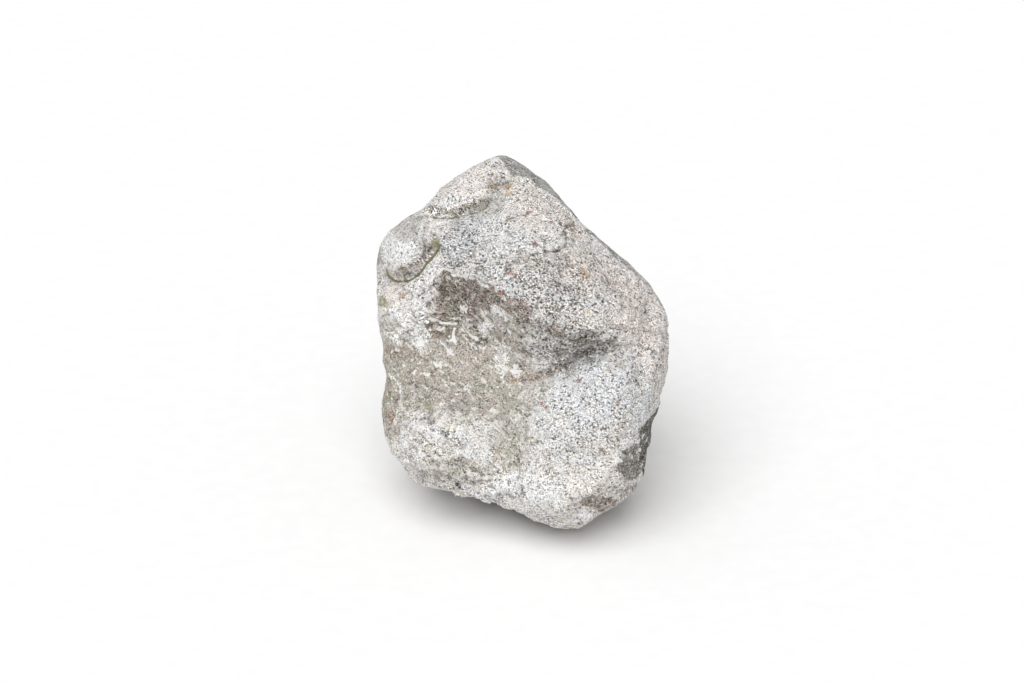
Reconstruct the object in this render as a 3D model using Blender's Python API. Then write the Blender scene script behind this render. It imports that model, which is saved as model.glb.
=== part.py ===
"""Glacial erratic boulder: one ice-worn granite stone that stands on a ground, flat sole.

Run with: blender --background --python part.py
Units are metres, +Z is up and the origin is on the sole, the flat face that the stone stands on.

The stone is modelled in "face coordinates", laid out on its broad front face, which leans back:
u runs to the right, v runs up the face and w comes straight out of it. Lists of points on the face
are in millimetres, as (u, v, ...). A closed outline gives the stone's reach all round the face, a
plump body fills it, large worn planes and sharper breaks cut the body, and a lofted front, steps,
swells and hollows are worked into it.
"""

import math

import bmesh
import bpy
import numpy as np
from mathutils import Vector, noise

# ---- driving dimensions ----------------------------------------------------------------------
FACE_LEAN = math.radians(25.0)  # how far the front face leans back from the vertical
CENTRE_HEIGHT = 0.262  # of the stone's middle above the ground
FRONT_DEPTH = 0.260  # from the outline's plane to the front of the plump body
BACK_DEPTH = 0.235  # and to its back
RIM_TILT = 0.20  # how far the outline comes forward for each metre down the face
ROUNDNESS = 2.35  # 2 is an ellipsoid, more is boxier
FRONT_SLOPE = math.radians(41.0)  # usual slope of the lofted front off the face's plane
FRONT_EDGE = 0.012  # how far the edge between the front and the body is worn
FILLET = 0.03  # how far the heel runs into the body
HEEL_WITHIN = 0.97  # of the outline's reach, which the heel keeps to
SPARE = 0.008  # stone below the ground, which the sole's flat cut takes off
GRID = 96  # squares along each side of the six patches that wrap the stone
MAP_STEP = 0.0020  # spacing of the lofted front's lattice
MAP_HALF = (0.27, 0.34)  # its half-width and half-height
LOFT_BLUR = 110  # passes that take the stations' creases out of it
RAYS = (0.05, 0.45)  # nearest and farthest that the surface can be from the middle
HALVINGS = 18  # of that range, until the surface is found
RELIEF_FADE = 0.05  # how far over the rim the relief of each side fades in
SWELLS = ((13.0, 0.0050), (34.0, 0.0030))  # unevenness: cycles to the metre and height
TRIANGLES = 9600  # of the finished solid, nearly

UP = Vector((0.0, math.sin(FACE_LEAN), math.cos(FACE_LEAN)))
OUT = Vector((0.0, -math.cos(FACE_LEAN), math.sin(FACE_LEAN)))

# The face's outline as (u, v), anticlockwise from the right-hand side.
OUTLINE = [
    (241.5, 8), (237.5, 40), (222.5, 68), (197, 105.5), (167, 137), (131, 164), (99, 191.5),
    (77.5, 219), (50.5, 250.5), (19, 277), (-12, 299), (-34.5, 309), (-63, 302), (-101, 284.5),
    (-133.5, 256.5), (-161.5, 227), (-188, 211), (-213, 189), (-231, 165), (-242.5, 141),
    (-243, 90.5), (-240.5, 40), (-233, 4), (-231.5, -30), (-227, -61), (-231, -94.5), (-229, -134),
    (-216.5, -172.5), (-198.5, -199.5), (-182, -222), (-162.5, -233.5), (-124.5, -242.5),
    (-79, -255), (-44.5, -263), (-12, -275.5), (21.5, -291), (51.5, -301), (79, -302),
    (101.5, -296), (126.5, -275.5), (156, -259), (178, -242.5), (192, -220), (201, -178.5),
    (211, -129.5), (225, -91.5), (234.5, -60), (238, -30),
]

# Profiles down the front at stations across it: u, then (v, w) for the same twelve features from
# the crown down: crown, upper slope, knuckle, recess, brow, arris, underside, crease, shoulder,
# belly, lower belly, undercut.
FRONT = {
    -262: [(215, -80), (180, -40), (130, -12), (105, -20), (90, -18), (75, -16), (50, -16), (0, -20),
           (-80, -22), (-120, -16), (-170, -20), (-220, -60)],
    -206: [(245, -50), (192, 20), (140, 68), (110, 74), (90, 74), (62, 72), (30, 68), (-20, 56),
           (-92, 62), (-140, 90), (-180, 80), (-225, 20)],
    -167: [(265, -50), (212, 30), (160, 88), (120, 104), (98, 106), (76, 104), (45, 100), (-20, 90),
           (-100, 106), (-140, 134), (-192, 126), (-245, 55)],
    -132: [(290, -60), (235, 30), (190, 82), (150, 112), (126, 128), (110, 132), (66, 104), (25, 93),
           (-102, 122), (-145, 148), (-200, 138), (-252, 70)],
    -100: [(307, -70), (255, 20), (214, 72), (180, 100), (138, 132), (109, 150), (62, 114), (20, 100),
           (-104, 127), (-150, 154), (-205, 144), (-262, 80)],
    -68: [(330, -80), (270, 20), (226, 70), (194, 98), (145, 144), (98, 174), (60, 136), (5, 103),
          (-106, 126), (-152, 151), (-214, 145), (-285, 85)],
    -37: [(336, -30), (284, 14), (232, 62), (205, 96), (145, 158), (74, 192), (36, 160), (-40, 114),
          (-98, 122), (-150, 142), (-228, 142), (-300, 90)],
    27: [(300, -30), (256, 18), (216, 80), (185, 130), (122, 180), (42, 212), (4, 178), (-57, 134),
         (-82, 163), (-145, 188), (-250, 180), (-325, 110)],
    83: [(250, -30), (210, 18), (173, 85), (145, 130), (92, 180), (20, 202), (-2, 172), (-33, 136),
         (-56, 168), (-140, 204), (-250, 186), (-330, 110)],
    140: [(200, -30), (168, 18), (134, 75), (112, 112), (72, 155), (16, 178), (4, 172), (-8, 154),
          (-30, 176), (-120, 202), (-230, 188), (-310, 110)],
    190: [(158, -25), (130, 8), (100, 52), (82, 82), (52, 114), (15, 138), (2, 138), (-10, 136),
          (-38, 150), (-110, 172), (-190, 162), (-270, 84)],
    226: [(110, -50), (92, -20), (76, 14), (66, 42), (48, 78), (14, 106), (2, 112), (-10, 114),
          (-38, 124), (-105, 140), (-165, 126), (-240, 60)],
    256: [(90, -80), (72, -40), (58, -10), (48, 14), (30, 40), (10, 62), (0, 70), (-10, 74),
          (-38, 84), (-90, 90), (-150, 70), (-220, 10)],
}

# Planes as a point on them, then: turned round the outline and tilted to the front, in degrees,
# and the radius their edge is worn to.
RIM_PLANES = {
    "right flank": ((0.242, 0.02, 0.00), -2.0, 9.0, 0.014),
    "left flank": ((-0.2345, -0.11, 0.022), 181.0, 24.0, 0.008),
    "upper right": ((0.081, 0.251, -0.047), 44.5, 22.0, 0.004),
    "below left": ((-0.10, -0.235, 0.125), 245.0, 30.0, 0.010),
    "right break": ((0.187, -0.150, 0.146), -20.0, 20.0, 0.002),
    "middle break": ((0.164, -0.180, 0.184), -40.0, 30.0, 0.002),
    "lower break": ((0.160, -0.234, 0.178), -44.0, 48.0, 0.003),
}
# For the back: how fast the plane's depth grows to the right and up the face, and the radius.
BACK_PLANES = {
    "upper back": ((0.02, 0.16, -0.165), 0.15, -0.50, 0.03),
    "lower back": ((0.03, -0.10, -0.215), -0.08, 0.10, 0.02),
    "left quarter": ((-0.15, 0.02, -0.150), 0.75, -0.15, 0.02),
    "right quarter": ((0.15, -0.02, -0.160), -0.85, -0.25, 0.015),
    "nape": ((-0.12, 0.20, -0.105), 0.90, -0.95, 0.02),
    "haunch": ((0.14, -0.20, -0.130), -0.90, 0.60, 0.02),
}
HEEL = ((-0.02, -0.13, -0.09), (0.19, 0.15, 0.17), 2.4)  # middle, half-sizes and roundness
CHIP = ((0.116, -0.312, 0.232), 0.086, 0.003)  # middle and radius of a shell-like break, its edge


# ---- blending --------------------------------------------------------------------------------
def ramp(value, low, high):
    """0 below low, 1 above high and smooth between."""
    t = np.clip((value - low) / (high - low), 0.0, 1.0)
    return t * t * (3.0 - 2.0 * t)


def cut(body, cutter, edge):
    """What is inside both distances, with the edge between them worn to about this radius."""
    overlap = np.maximum(edge - np.abs(body - cutter), 0.0)
    return np.maximum(body, cutter) + overlap * overlap / (4.0 * edge)


def join(body, other, fillet):
    """What is inside either distance, with the crease between them filled."""
    return -cut(-body, -other, fillet)


def back_plane(p, at, climb, rise):
    """Height behind a plane of the back through at."""
    lift = (at[2] - p[2]) - climb * (p[0] - at[0]) - rise * (p[1] - at[1])
    return lift / math.sqrt(1.0 + climb**2 + rise**2)


def side_plane(p, at, turn, tilt):
    """Height above a plane of the rim through at."""
    turn, tilt = math.radians(turn), math.radians(tilt)
    normal = (math.cos(turn) * math.cos(tilt), math.sin(turn) * math.cos(tilt), math.sin(tilt))
    return sum((c - a) * n for c, a, n in zip(p, at, normal))


# ---- curves and strokes ------------------------------------------------------------------------
def smooth_line(points, steps=6):
    """More rows on a smooth curve through these, whose later columns are carried along."""
    rows = np.array([points[0], *points, points[-1]], float)
    t = np.linspace(0.0, 1.0, steps, endpoint=False)[:, None]
    curves = []
    for a, b, c, d in zip(rows, rows[1:], rows[2:], rows[3:]):
        bend = t * ((2 * a - 5 * b + 4 * c - d) + t * (3 * (b - c) + d - a))
        curves.append(b + 0.5 * t * ((c - a) + bend))
    return np.concatenate([*curves, rows[-1:]])


def beside(u, v, line):
    """Distance left of the line (negative to its right), share of its length, its other columns."""
    best = np.full(u.shape, np.inf)
    side, share = np.zeros_like(best), np.zeros_like(best)
    carried = np.zeros((line.shape[1] - 2, *u.shape))
    for i, (a, b) in enumerate(zip(line, line[1:])):
        du, dv = b[0] - a[0], b[1] - a[1]
        t = np.clip(((u - a[0]) * du + (v - a[1]) * dv) / (du * du + dv * dv), 0.0, 1.0)
        far = np.hypot(u - a[0] - t * du, v - a[1] - t * dv)
        closer = far < best
        best = np.where(closer, far, best)
        side = np.where(closer, np.sign(du * (v - a[1]) - dv * (u - a[0])), side)
        share = np.where(closer, (i + t) / (len(line) - 1), share)
        for k in range(len(carried)):
            carried[k] = np.where(closer, a[k + 2] + t * (b[k + 2] - a[k + 2]), carried[k])
    return best * side, share, carried


def ledge(u, v, points, reach, ends=0.12):
    """A step along (u, v, drop, lip), whose foot is the line: the stone to its left falls by drop
    over the lip's width, and to the right of the foot it comes back over reach."""
    left, share, (drop, lip) = beside(u, v, smooth_line(points) / 1000)
    fade = ramp(share, 0.0, ends) * ramp(1.0 - share, 0.0, ends)
    back = np.exp(-np.maximum(-left, 0.0) / (reach * (0.15 + 0.85 * fade)))
    return -drop * fade * np.clip(1.0 - left / lip, 0.0, 1.0) * back


def dome(u, v, at, size, turn, rise):
    """A smooth swell, or a hollow where rise is negative, over an ellipse; all but turn in mm."""
    turn = math.radians(turn)
    u, v = u * 1000 - at[0], v * 1000 - at[1]
    along = (u * math.cos(turn) + v * math.sin(turn)) / size[0]
    across = (v * math.cos(turn) - u * math.sin(turn)) / size[1]
    return rise / 1000 * np.maximum(1.0 - along**2 - across**2, 0.0) ** 2


def flow(x, knots, values):
    """A smooth curve through the knots that never overshoots them, read at x."""
    span = np.diff(knots)
    rise = np.diff(values) / span
    same = rise[1:] * rise[:-1] > 0
    both = np.where(same, rise[1:] + rise[:-1], 1.0)
    bend = np.where(same, 2.0 * rise[1:] * rise[:-1] / both, 0.0)
    slope = np.concatenate([rise[:1], bend, rise[-1:]])
    k = np.clip(np.searchsorted(knots, x) - 1, 0, len(span) - 1)
    t = np.clip((x - knots[k]) / span[k], 0.0, 1.0)
    start, end = slope[k] * span[k], slope[k + 1] * span[k]
    jump = values[k + 1] - values[k]
    return values[k] + t * (start + t * (3 * jump - 2 * start - end + t * (start + end - 2 * jump)))


def lofted(stations, u, v):
    """Height of the surface lofted through matched profiles, on a lattice of u by v."""
    across = np.array(sorted(stations)) / 1000
    rows = np.array([stations[key] for key in sorted(stations)]) / 1000
    heights = np.empty(u.shape)
    for i, at in enumerate(u[:, 0]):
        here = np.array([at])
        knots = np.array([flow(here, across, row)[0] for row in rows[:, ::-1, 0].T])
        values = np.array([flow(here, across, row)[0] for row in rows[:, ::-1, 1].T])
        heights[i] = flow(v[i], knots, values)
    for _ in range(LOFT_BLUR):
        heights[1:-1] = (heights[:-2] + 2.0 * heights[1:-1] + heights[2:]) / 4.0
    return heights


# ---- the body --------------------------------------------------------------------------------
def outline_reach(angle):
    """The outline's distance from the middle, at these angles round it."""
    corners = np.array(OUTLINE) / 1000
    at = np.unwrap(np.arctan2(corners[:, 1], corners[:, 0]))
    reach = np.hypot(corners[:, 0], corners[:, 1])
    at = np.concatenate([at[-2:] - 2 * math.pi, at, at[:3] + 2 * math.pi])
    reach = np.concatenate([reach[-2:], reach, reach[:3]])
    angle = at[2] + np.mod(angle - at[2], 2 * math.pi)
    k = np.clip(np.searchsorted(at, angle, side="right") - 1, 2, len(at) - 3)
    span = at[k + 1] - at[k]
    t = (angle - at[k]) / span
    start = (reach[k + 1] - reach[k - 1]) / (at[k + 1] - at[k - 1]) * span
    end = (reach[k + 2] - reach[k]) / (at[k + 2] - at[k]) * span
    return (
        reach[k] * (2 * t**3 - 3 * t**2 + 1)
        + start * (t**3 - 2 * t**2 + t)
        + reach[k + 1] * (3 * t**2 - 2 * t**3)
        + end * (t**3 - t**2)
    )


def plump_body(p):
    """The rounded form that fills the outline."""
    u, v, w = p
    across = np.hypot(u, v) / outline_reach(np.arctan2(v, u))
    off_rim = w + RIM_TILT * v
    depth = np.abs(off_rim) / np.where(off_rim > 0, FRONT_DEPTH, BACK_DEPTH)
    return ((across**ROUNDNESS + depth**ROUNDNESS) ** (1 / ROUNDNESS) - 1.0) * BACK_DEPTH


def heel(p):
    """The full lower back that the stone sits on, kept inside the outline."""
    middle, size, roundness = HEEL
    spans = (np.abs((c - m) / s) ** roundness for c, m, s in zip(p, middle, size))
    block = (sum(spans) ** (1 / roundness) - 1.0) * min(size)
    across = np.hypot(p[0], p[1]) / outline_reach(np.arctan2(p[1], p[0]))
    return cut(block, (across - HEEL_WITHIN) * BACK_DEPTH, FILLET)


def stone_form(p, front):
    """Below zero inside the stone."""
    stone = join(plump_body(p), heel(p), FILLET)
    for at, climb, rise, edge in BACK_PLANES.values():
        stone = cut(stone, back_plane(p, at, climb, rise), edge)
    stone = cut(stone, (p[2] - front) * math.cos(FRONT_SLOPE), FRONT_EDGE)
    for at, turn, tilt, edge in RIM_PLANES.values():
        stone = cut(stone, side_plane(p, at, turn, tilt), edge)
    middle, radius, edge = CHIP
    hole = radius - np.sqrt(sum((c - m) ** 2 for c, m in zip(p, middle)))
    return cut(stone, hole, edge)


# Steps: the line of the foot, the drops and the lips' widths shared out along it, and the reach.
# The stone stands proud to the left of the line.
FRONT_STEPS = {
    "under the knuckle": (
        [
            (-224, 122), (-224, 113), (-220, 104), (-211, 99), (-198, 98), (-187, 99), (-178, 103),
            (-167, 113), (-156, 128), (-147, 139), (-139, 150), (-133, 160),
        ],
        [12, 20, 24, 27, 26, 18],
        [14, 24, 26, 27, 26],
        45,
    ),
    "under the nose": (
        [
            (-162, 208), (-149, 204), (-136, 202), (-124, 201), (-111, 202), (-98, 205),
            (-84, 208), (-71, 212), (-62, 218), (-57, 227), (-57, 238),
        ],
        [12, 18, 19, 18, 12],
        [16, 20, 19, 15],
        40,
    ),
    "side of the dark hollow": (
        [(-158, 54), (-153, 70), (-150, 86), (-145, 100), (-137, 111)],
        [3, 6, 5],
        [6],
        12,
    ),
    "under the brow": (
        [
            (-160, 104), (-149, 109), (-138, 111), (-126, 112), (-112, 108), (-96, 99), (-80, 95),
            (-66, 92), (-54, 84), (-43, 73), (-30, 58), (-14, 46), (4, 38), (24, 32), (48, 20),
            (76, 10), (104, 5), (130, 5), (152, 12),
        ],
        [4, 7, 8, 7, 5, 3, 2, 3, 3, 2],
        [7, 8, 12],
        30,
    ),
    "crease": (
        [
            (-16, -72), (2, -67), (22, -60), (42, -54), (58, -48), (70, -41), (82, -33), (94, -25),
            (107, -18), (121, -12), (135, -4), (150, 3),
        ],
        [2, 5, 6, 6, 3],
        [14, 12, 10],
        14,
    ),
    "foot of the spalled plate": (
        [(30, 146), (44, 143), (57, 146), (66, 153), (70, 164), (67, 177), (60, 190), (50, 203)],
        [4, 7, 8, 7, 4],
        [6],
        30,
    ),
    "crack over the plate": (
        [(-32, 193), (-24, 198), (-16, 201), (-5, 204), (5, 206), (10, 211), (9, 217)],
        [2, 4, 3],
        [4],
        16,
    ),
    "edge of the chute": (
        [(-30, 232), (-42, 212), (-54, 195), (-61, 178), (-67, 160), (-73, 146)],
        [5, 7, 6, 3],
        [10],
        40,
    ),
    "left arris": (
        [(-226, -52), (-210, -66), (-203, -84), (-201, -104), (-208, -119), (-208, -140)],
        [5, 10, 10, 5],
        [4],
        35,
    ),
}
BACK_STEPS = {
    "shelf": (
        [(-160, 120), (-120, 106), (-90, 100), (-50, 108), (-15, 132), (0, 170), (-12, 230)],
        [8, 14, 16, 12, 6],
        [10],
        45,
    ),
    "step over the haunch": (
        [(10, -90), (60, -62), (110, -52), (170, -20)],
        [8, 13, 13, 8],
        [10],
        50,
    ),
}

# Swells and, with a negative rise, hollows: middle, half-sizes, turn in degrees and rise.
FRONT_SWELLS = [
    ((-200, 158), (62, 74), -30, 14),  # the upper left knuckle
    ((-98, 238), (62, 42), 10, 8),  # the nose above it
    ((-125, -152), (100, 62), 8, 12),  # the lower left bulge
    ((105, -115), (120, 85), 30, 12),  # the lower right bulge
    ((20, 110), (85, 65), -20, 10),  # the brow
    ((-120, -15), (120, 60), -15, -10),  # the basin
    ((120, 75), (60, 45), -50, 6),
    ((-190, 60), (26, 20), 30, 7),  # lumps under the knuckle
    ((-206, 74), (16, 14), 0, 5),
    ((-186, 22), (30, 18), -30, 5),
    ((-150, 186), (26, 16), 60, 5),  # the lump between the knuckle and the nose
    ((-60, 20), (26, 14), -20, 4),
    ((-20, -5), (34, 20), 10, 4),
    ((30, 0), (30, 16), 20, 4),
    ((-45, -200), (50, 90), 10, -5),
    ((-26, -140), (34, 60), 24, -3),
    ((-66, -112), (44, 30), -20, 4),
    ((150, -60), (40, 60), -20, 4),
    ((20, -230), (70, 40), -20, 5),
]
BACK_SWELLS = [
    ((80, 100), (110, 80), 30, -12),
    ((-110, -60), (100, 80), 10, -10),
    ((-60, 200), (60, 40), -20, 6),
    ((110, -120), (60, 50), 15, 7),
    ((-10, -20), (70, 50), 40, 6),
]


def step_along(line, drops, lips):
    """The line's points with a drop and a lip's width for each."""
    at = np.linspace(0, 1, len(line))
    drop = np.interp(at, np.linspace(0, 1, len(drops)), drops)
    lip = np.interp(at, np.linspace(0, 1, len(lips)), lips)
    return np.column_stack([line, drop, lip])


def relief(u, v, steps, swells):
    """What stands out of a face (positive) or is sunk into it. Seen through the stone for the
    back, so that u always runs to the front's right."""
    height = np.zeros_like(u)
    for line, drops, lips, reach in steps.values():
        height += ledge(u, v, step_along(line, drops, lips), reach / 1000)
    for at, size, turn, rise in swells:
        height += dome(u, v, at, size, turn, rise)
    return height


class FrontMap:
    """The lofted front worked out once on a fine square lattice, then read between its points."""

    def __init__(self):
        self.low = np.array([-MAP_HALF[0], -MAP_HALF[1]])
        count = [round(2 * half / MAP_STEP) + 1 for half in MAP_HALF]
        lines = [low + MAP_STEP * np.arange(n) for low, n in zip(self.low, count)]
        self.heights = lofted(FRONT, *np.meshgrid(*lines, indexing="ij"))

    def at(self, u, v):
        top = np.array(self.heights.shape) - 2
        x = np.clip((u - self.low[0]) / MAP_STEP, 0.0, top[0] + 0.999)
        y = np.clip((v - self.low[1]) / MAP_STEP, 0.0, top[1] + 0.999)
        i, j = x.astype(int), y.astype(int)
        x, y, h = x - i, y - j, self.heights
        near = h[i, j] * (1 - x) + h[i + 1, j] * x
        far = h[i, j + 1] * (1 - x) + h[i + 1, j + 1] * x
        return near * (1 - y) + far * y


def unevenness(points):
    """The low swells and dips all over the stone."""
    return sum(
        height * np.array([noise.noise(Vector(point) * cycles) for point in points])
        for cycles, height in SWELLS
    )


def surface_points(directions):
    """The stone's surface along these rays from the middle, as face coordinates."""
    front = FrontMap()
    near, far = (np.full(len(directions), reach) for reach in RAYS)
    for _ in range(HALVINGS):
        middle = (near + far) / 2
        p = (directions * middle[:, None]).T
        height = CENTRE_HEIGHT + p[1] * UP.z + p[2] * OUT.z
        inside = np.maximum(stone_form(p, front.at(p[0], p[1])), -SPARE - height) < 0
        near = np.where(inside, middle, near)
        far = np.where(inside, far, middle)
    near += unevenness(directions * near[:, None])
    u, v, w = (directions * near[:, None]).T
    facing = w + RIM_TILT * v
    w = w + relief(u, v, FRONT_STEPS, FRONT_SWELLS) * ramp(facing, 0.0, RELIEF_FADE)
    w = w - relief(u, v, BACK_STEPS, BACK_SWELLS) * ramp(-facing, 0.0, RELIEF_FADE)
    return np.stack([u, v, w], axis=1)


def wrapped_grid(squares):
    """A cube's surface split into squares and pushed out to a ball of radius 1."""
    mesh = bmesh.new()
    bmesh.ops.create_cube(mesh, size=2.0)
    bmesh.ops.subdivide_edges(mesh, edges=mesh.edges[:], cuts=squares - 1, use_grid_fill=True)
    for vertex in mesh.verts:
        spread = Vector(math.tan(c * math.pi / 4) for c in vertex.co)
        vertex.co = spread.normalized()
    return mesh


def to_world(points):
    """Face coordinates to the world's."""
    u, v, w = points.T
    height = CENTRE_HEIGHT + v * UP.z + w * OUT.z
    return np.stack([u, v * UP.y + w * OUT.y, np.maximum(height, -SPARE)], axis=1)


def stone_mesh(squares):
    grid = wrapped_grid(squares)
    directions = np.array([vertex.co for vertex in grid.verts])
    points = to_world(surface_points(directions))
    for vertex, point in zip(grid.verts, points):
        vertex.co = point
    bmesh.ops.recalc_face_normals(grid, faces=grid.faces[:])
    mesh = bpy.data.meshes.new("boulder")
    grid.to_mesh(mesh)
    grid.free()
    return mesh


def ground_block():
    """What the flat sole is cut with: a block whose top is the ground."""
    mesh = bmesh.new()
    bmesh.ops.create_cube(mesh, size=1.0)
    for vertex in mesh.verts:
        vertex.co.z -= 0.5
    block = bpy.data.objects.new("ground_block", bpy.data.meshes.new("ground_block"))
    mesh.to_mesh(block.data)
    mesh.free()
    block.hide_render = True
    block.display_type = "WIRE"
    return block


def granite():
    material = bpy.data.materials.new("granite")
    material.use_nodes = True
    shader = material.node_tree.nodes["Principled BSDF"]
    shader.inputs["Base Color"].default_value = (0.53, 0.505, 0.475, 1.0)
    shader.inputs["Roughness"].default_value = 0.9
    return material


def main():
    for old in list(bpy.data.objects):
        bpy.data.objects.remove(old)
    boulder = bpy.data.objects.new("boulder", stone_mesh(GRID))
    boulder.data.materials.append(granite())
    ground = ground_block()
    for made in (boulder, ground):
        bpy.context.scene.collection.objects.link(made)
    facets = boulder.modifiers.new("facets", "DECIMATE")
    facets.ratio = TRIANGLES / (12 * GRID**2)
    sole = boulder.modifiers.new("sole", "BOOLEAN")
    sole.operation = "DIFFERENCE"
    sole.solver = "EXACT"
    sole.object = ground


main()
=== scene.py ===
"""The looks of the glacial erratic boulder: the CAD solid's stone again, with its finer relief, its
granite grain and the weathering, lichen and algae that lie on it.

Units are metres, +Z is up and the stone stands on the ground at z = 0.

The stone is modelled in "face coordinates", laid out on its broad front face, which leans back:
u runs to the right, v runs up the face and w comes straight out of it. Lists of points on the face
are in millimetres, as (u, v, ...). The form is the CAD's: an outline, a plump body, worn planes,
breaks and a lofted front. The relief, the roughness and the surface masks are added to it here.
"""

import math

import bmesh
import bpy
import numpy as np
from mathutils import Matrix, Vector, noise


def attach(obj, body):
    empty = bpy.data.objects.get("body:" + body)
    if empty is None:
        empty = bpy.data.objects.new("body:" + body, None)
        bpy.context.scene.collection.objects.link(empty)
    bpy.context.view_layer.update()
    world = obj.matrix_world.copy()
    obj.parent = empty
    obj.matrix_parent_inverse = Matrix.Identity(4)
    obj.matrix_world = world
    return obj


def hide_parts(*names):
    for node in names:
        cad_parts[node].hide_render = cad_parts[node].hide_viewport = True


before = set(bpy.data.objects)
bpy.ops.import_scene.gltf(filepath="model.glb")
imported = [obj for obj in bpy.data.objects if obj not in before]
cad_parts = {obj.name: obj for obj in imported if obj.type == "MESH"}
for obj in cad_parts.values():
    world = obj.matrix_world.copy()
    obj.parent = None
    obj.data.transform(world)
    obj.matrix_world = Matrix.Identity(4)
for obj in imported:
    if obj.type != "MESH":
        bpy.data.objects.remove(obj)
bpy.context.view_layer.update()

# ---- driving dimensions ----
FACE_LEAN = math.radians(25.0)  # how far the front face leans back from the vertical
CENTRE_HEIGHT = 0.262  # of the stone's middle above the ground
FRONT_DEPTH = 0.260  # from the outline's plane to the front of the plump body
BACK_DEPTH = 0.235  # and to its back
RIM_TILT = 0.20  # how far the outline comes forward for each metre down the face
ROUNDNESS = 2.35  # 2 is an ellipsoid, more is boxier
FRONT_SLOPE = math.radians(41.0)  # usual slope of the lofted front off the face's plane
FRONT_EDGE = 0.012  # how far the edge between the front and the body is worn
FILLET = 0.03  # how far the heel runs into the body
HEEL_WITHIN = 0.97  # of the outline's reach, which the heel keeps to
GRID = 128  # squares along each side of the six patches that wrap the stone
FRONT_SHARE = 0.80  # below 1 the squares crowd towards the front, where the detail is finest
MAP_STEP = 0.0020  # spacing of the lofted front's lattice
MAP_HALF = (0.27, 0.34)  # its half-width and half-height
LOFT_BLUR = 110  # passes that take the stations' creases out of it
RAYS = (0.05, 0.45)  # nearest and farthest that the surface can be from the middle
HALVINGS = 18  # of that range, until the surface is found
SMOOTHING = 0.6  # share of its neighbours' mean that a point takes in each pass
RELIEF_FADE = 0.05  # how far over the rim the relief of each side fades in
SWELLS = ((13.0, 0.0050), (34.0, 0.0030))  # unevenness: cycles to the metre and height

SKY = 0.54  # brightness of the white sky
SOFTBOX_FROM = (-0.9, -2.5, 4.0)  # the side that the soft light comes from
SOFTBOX_SPREAD = math.radians(55.0)
SOFTBOX_STRENGTH = 2.05
FLOOR_REACH = 14.0  # half the studio floor's width
LENS, SENSOR = 100.0, 36.0  # in millimetres
FRAME_WIDTH = 1.690  # what the camera takes in at the stone's middle
SIDE_STEP = -0.019  # how far right of the stone's middle the view is centred

UP = Vector((0.0, math.sin(FACE_LEAN), math.cos(FACE_LEAN)))
OUT = Vector((0.0, -math.cos(FACE_LEAN), math.sin(FACE_LEAN)))

# The face's outline as (u, v), anticlockwise from the right-hand side.
OUTLINE = [
    (241.5, 8), (237.5, 40), (222.5, 68), (197, 105.5), (167, 137), (131, 164), (99, 191.5),
    (77.5, 219), (50.5, 250.5), (19, 277), (-12, 299), (-34.5, 309), (-63, 302), (-101, 284.5),
    (-133.5, 256.5), (-161.5, 227), (-188, 211), (-213, 189), (-231, 165), (-242.5, 141),
    (-243, 90.5), (-240.5, 40), (-233, 4), (-231.5, -30), (-227, -61), (-231, -94.5), (-229, -134),
    (-216.5, -172.5), (-198.5, -199.5), (-182, -222), (-162.5, -233.5), (-124.5, -242.5),
    (-79, -255), (-44.5, -263), (-12, -275.5), (21.5, -291), (51.5, -301), (79, -302),
    (101.5, -296), (126.5, -275.5), (156, -259), (178, -242.5), (192, -220), (201, -178.5),
    (211, -129.5), (225, -91.5), (234.5, -60), (238, -30),
]

# Profiles down the front at stations across it: u, then (v, w) for the same twelve features from
# the crown down: crown, upper slope, knuckle, recess, brow, arris, underside, crease, shoulder,
# belly, lower belly, undercut.
FRONT = {
    -262: [(215, -80), (180, -40), (130, -12), (105, -20), (90, -18), (75, -16), (50, -16), (0, -20),
           (-80, -22), (-120, -16), (-170, -20), (-220, -60)],
    -206: [(245, -50), (192, 20), (140, 68), (110, 74), (90, 74), (62, 72), (30, 68), (-20, 56),
           (-92, 62), (-140, 90), (-180, 80), (-225, 20)],
    -167: [(265, -50), (212, 30), (160, 88), (120, 104), (98, 106), (76, 104), (45, 100), (-20, 90),
           (-100, 106), (-140, 134), (-192, 126), (-245, 55)],
    -132: [(290, -60), (235, 30), (190, 82), (150, 112), (126, 128), (110, 132), (66, 104), (25, 93),
           (-102, 122), (-145, 148), (-200, 138), (-252, 70)],
    -100: [(307, -70), (255, 20), (214, 72), (180, 100), (138, 132), (109, 150), (62, 114), (20, 100),
           (-104, 127), (-150, 154), (-205, 144), (-262, 80)],
    -68: [(330, -80), (270, 20), (226, 70), (194, 98), (145, 144), (98, 174), (60, 136), (5, 103),
          (-106, 126), (-152, 151), (-214, 145), (-285, 85)],
    -37: [(336, -30), (284, 14), (232, 62), (205, 96), (145, 158), (74, 192), (36, 160), (-40, 114),
          (-98, 122), (-150, 142), (-228, 142), (-300, 90)],
    27: [(300, -30), (256, 18), (216, 80), (185, 130), (122, 180), (42, 212), (4, 178), (-57, 134),
         (-82, 163), (-145, 188), (-250, 180), (-325, 110)],
    83: [(250, -30), (210, 18), (173, 85), (145, 130), (92, 180), (20, 202), (-2, 172), (-33, 136),
         (-56, 168), (-140, 204), (-250, 186), (-330, 110)],
    140: [(200, -30), (168, 18), (134, 75), (112, 112), (72, 155), (16, 178), (4, 172), (-8, 154),
          (-30, 176), (-120, 202), (-230, 188), (-310, 110)],
    190: [(158, -25), (130, 8), (100, 52), (82, 82), (52, 114), (15, 138), (2, 138), (-10, 136),
          (-38, 150), (-110, 172), (-190, 162), (-270, 84)],
    226: [(110, -50), (92, -20), (76, 14), (66, 42), (48, 78), (14, 106), (2, 112), (-10, 114),
          (-38, 124), (-105, 140), (-165, 126), (-240, 60)],
    256: [(90, -80), (72, -40), (58, -10), (48, 14), (30, 40), (10, 62), (0, 70), (-10, 74),
          (-38, 84), (-90, 90), (-150, 70), (-220, 10)],
}

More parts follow.
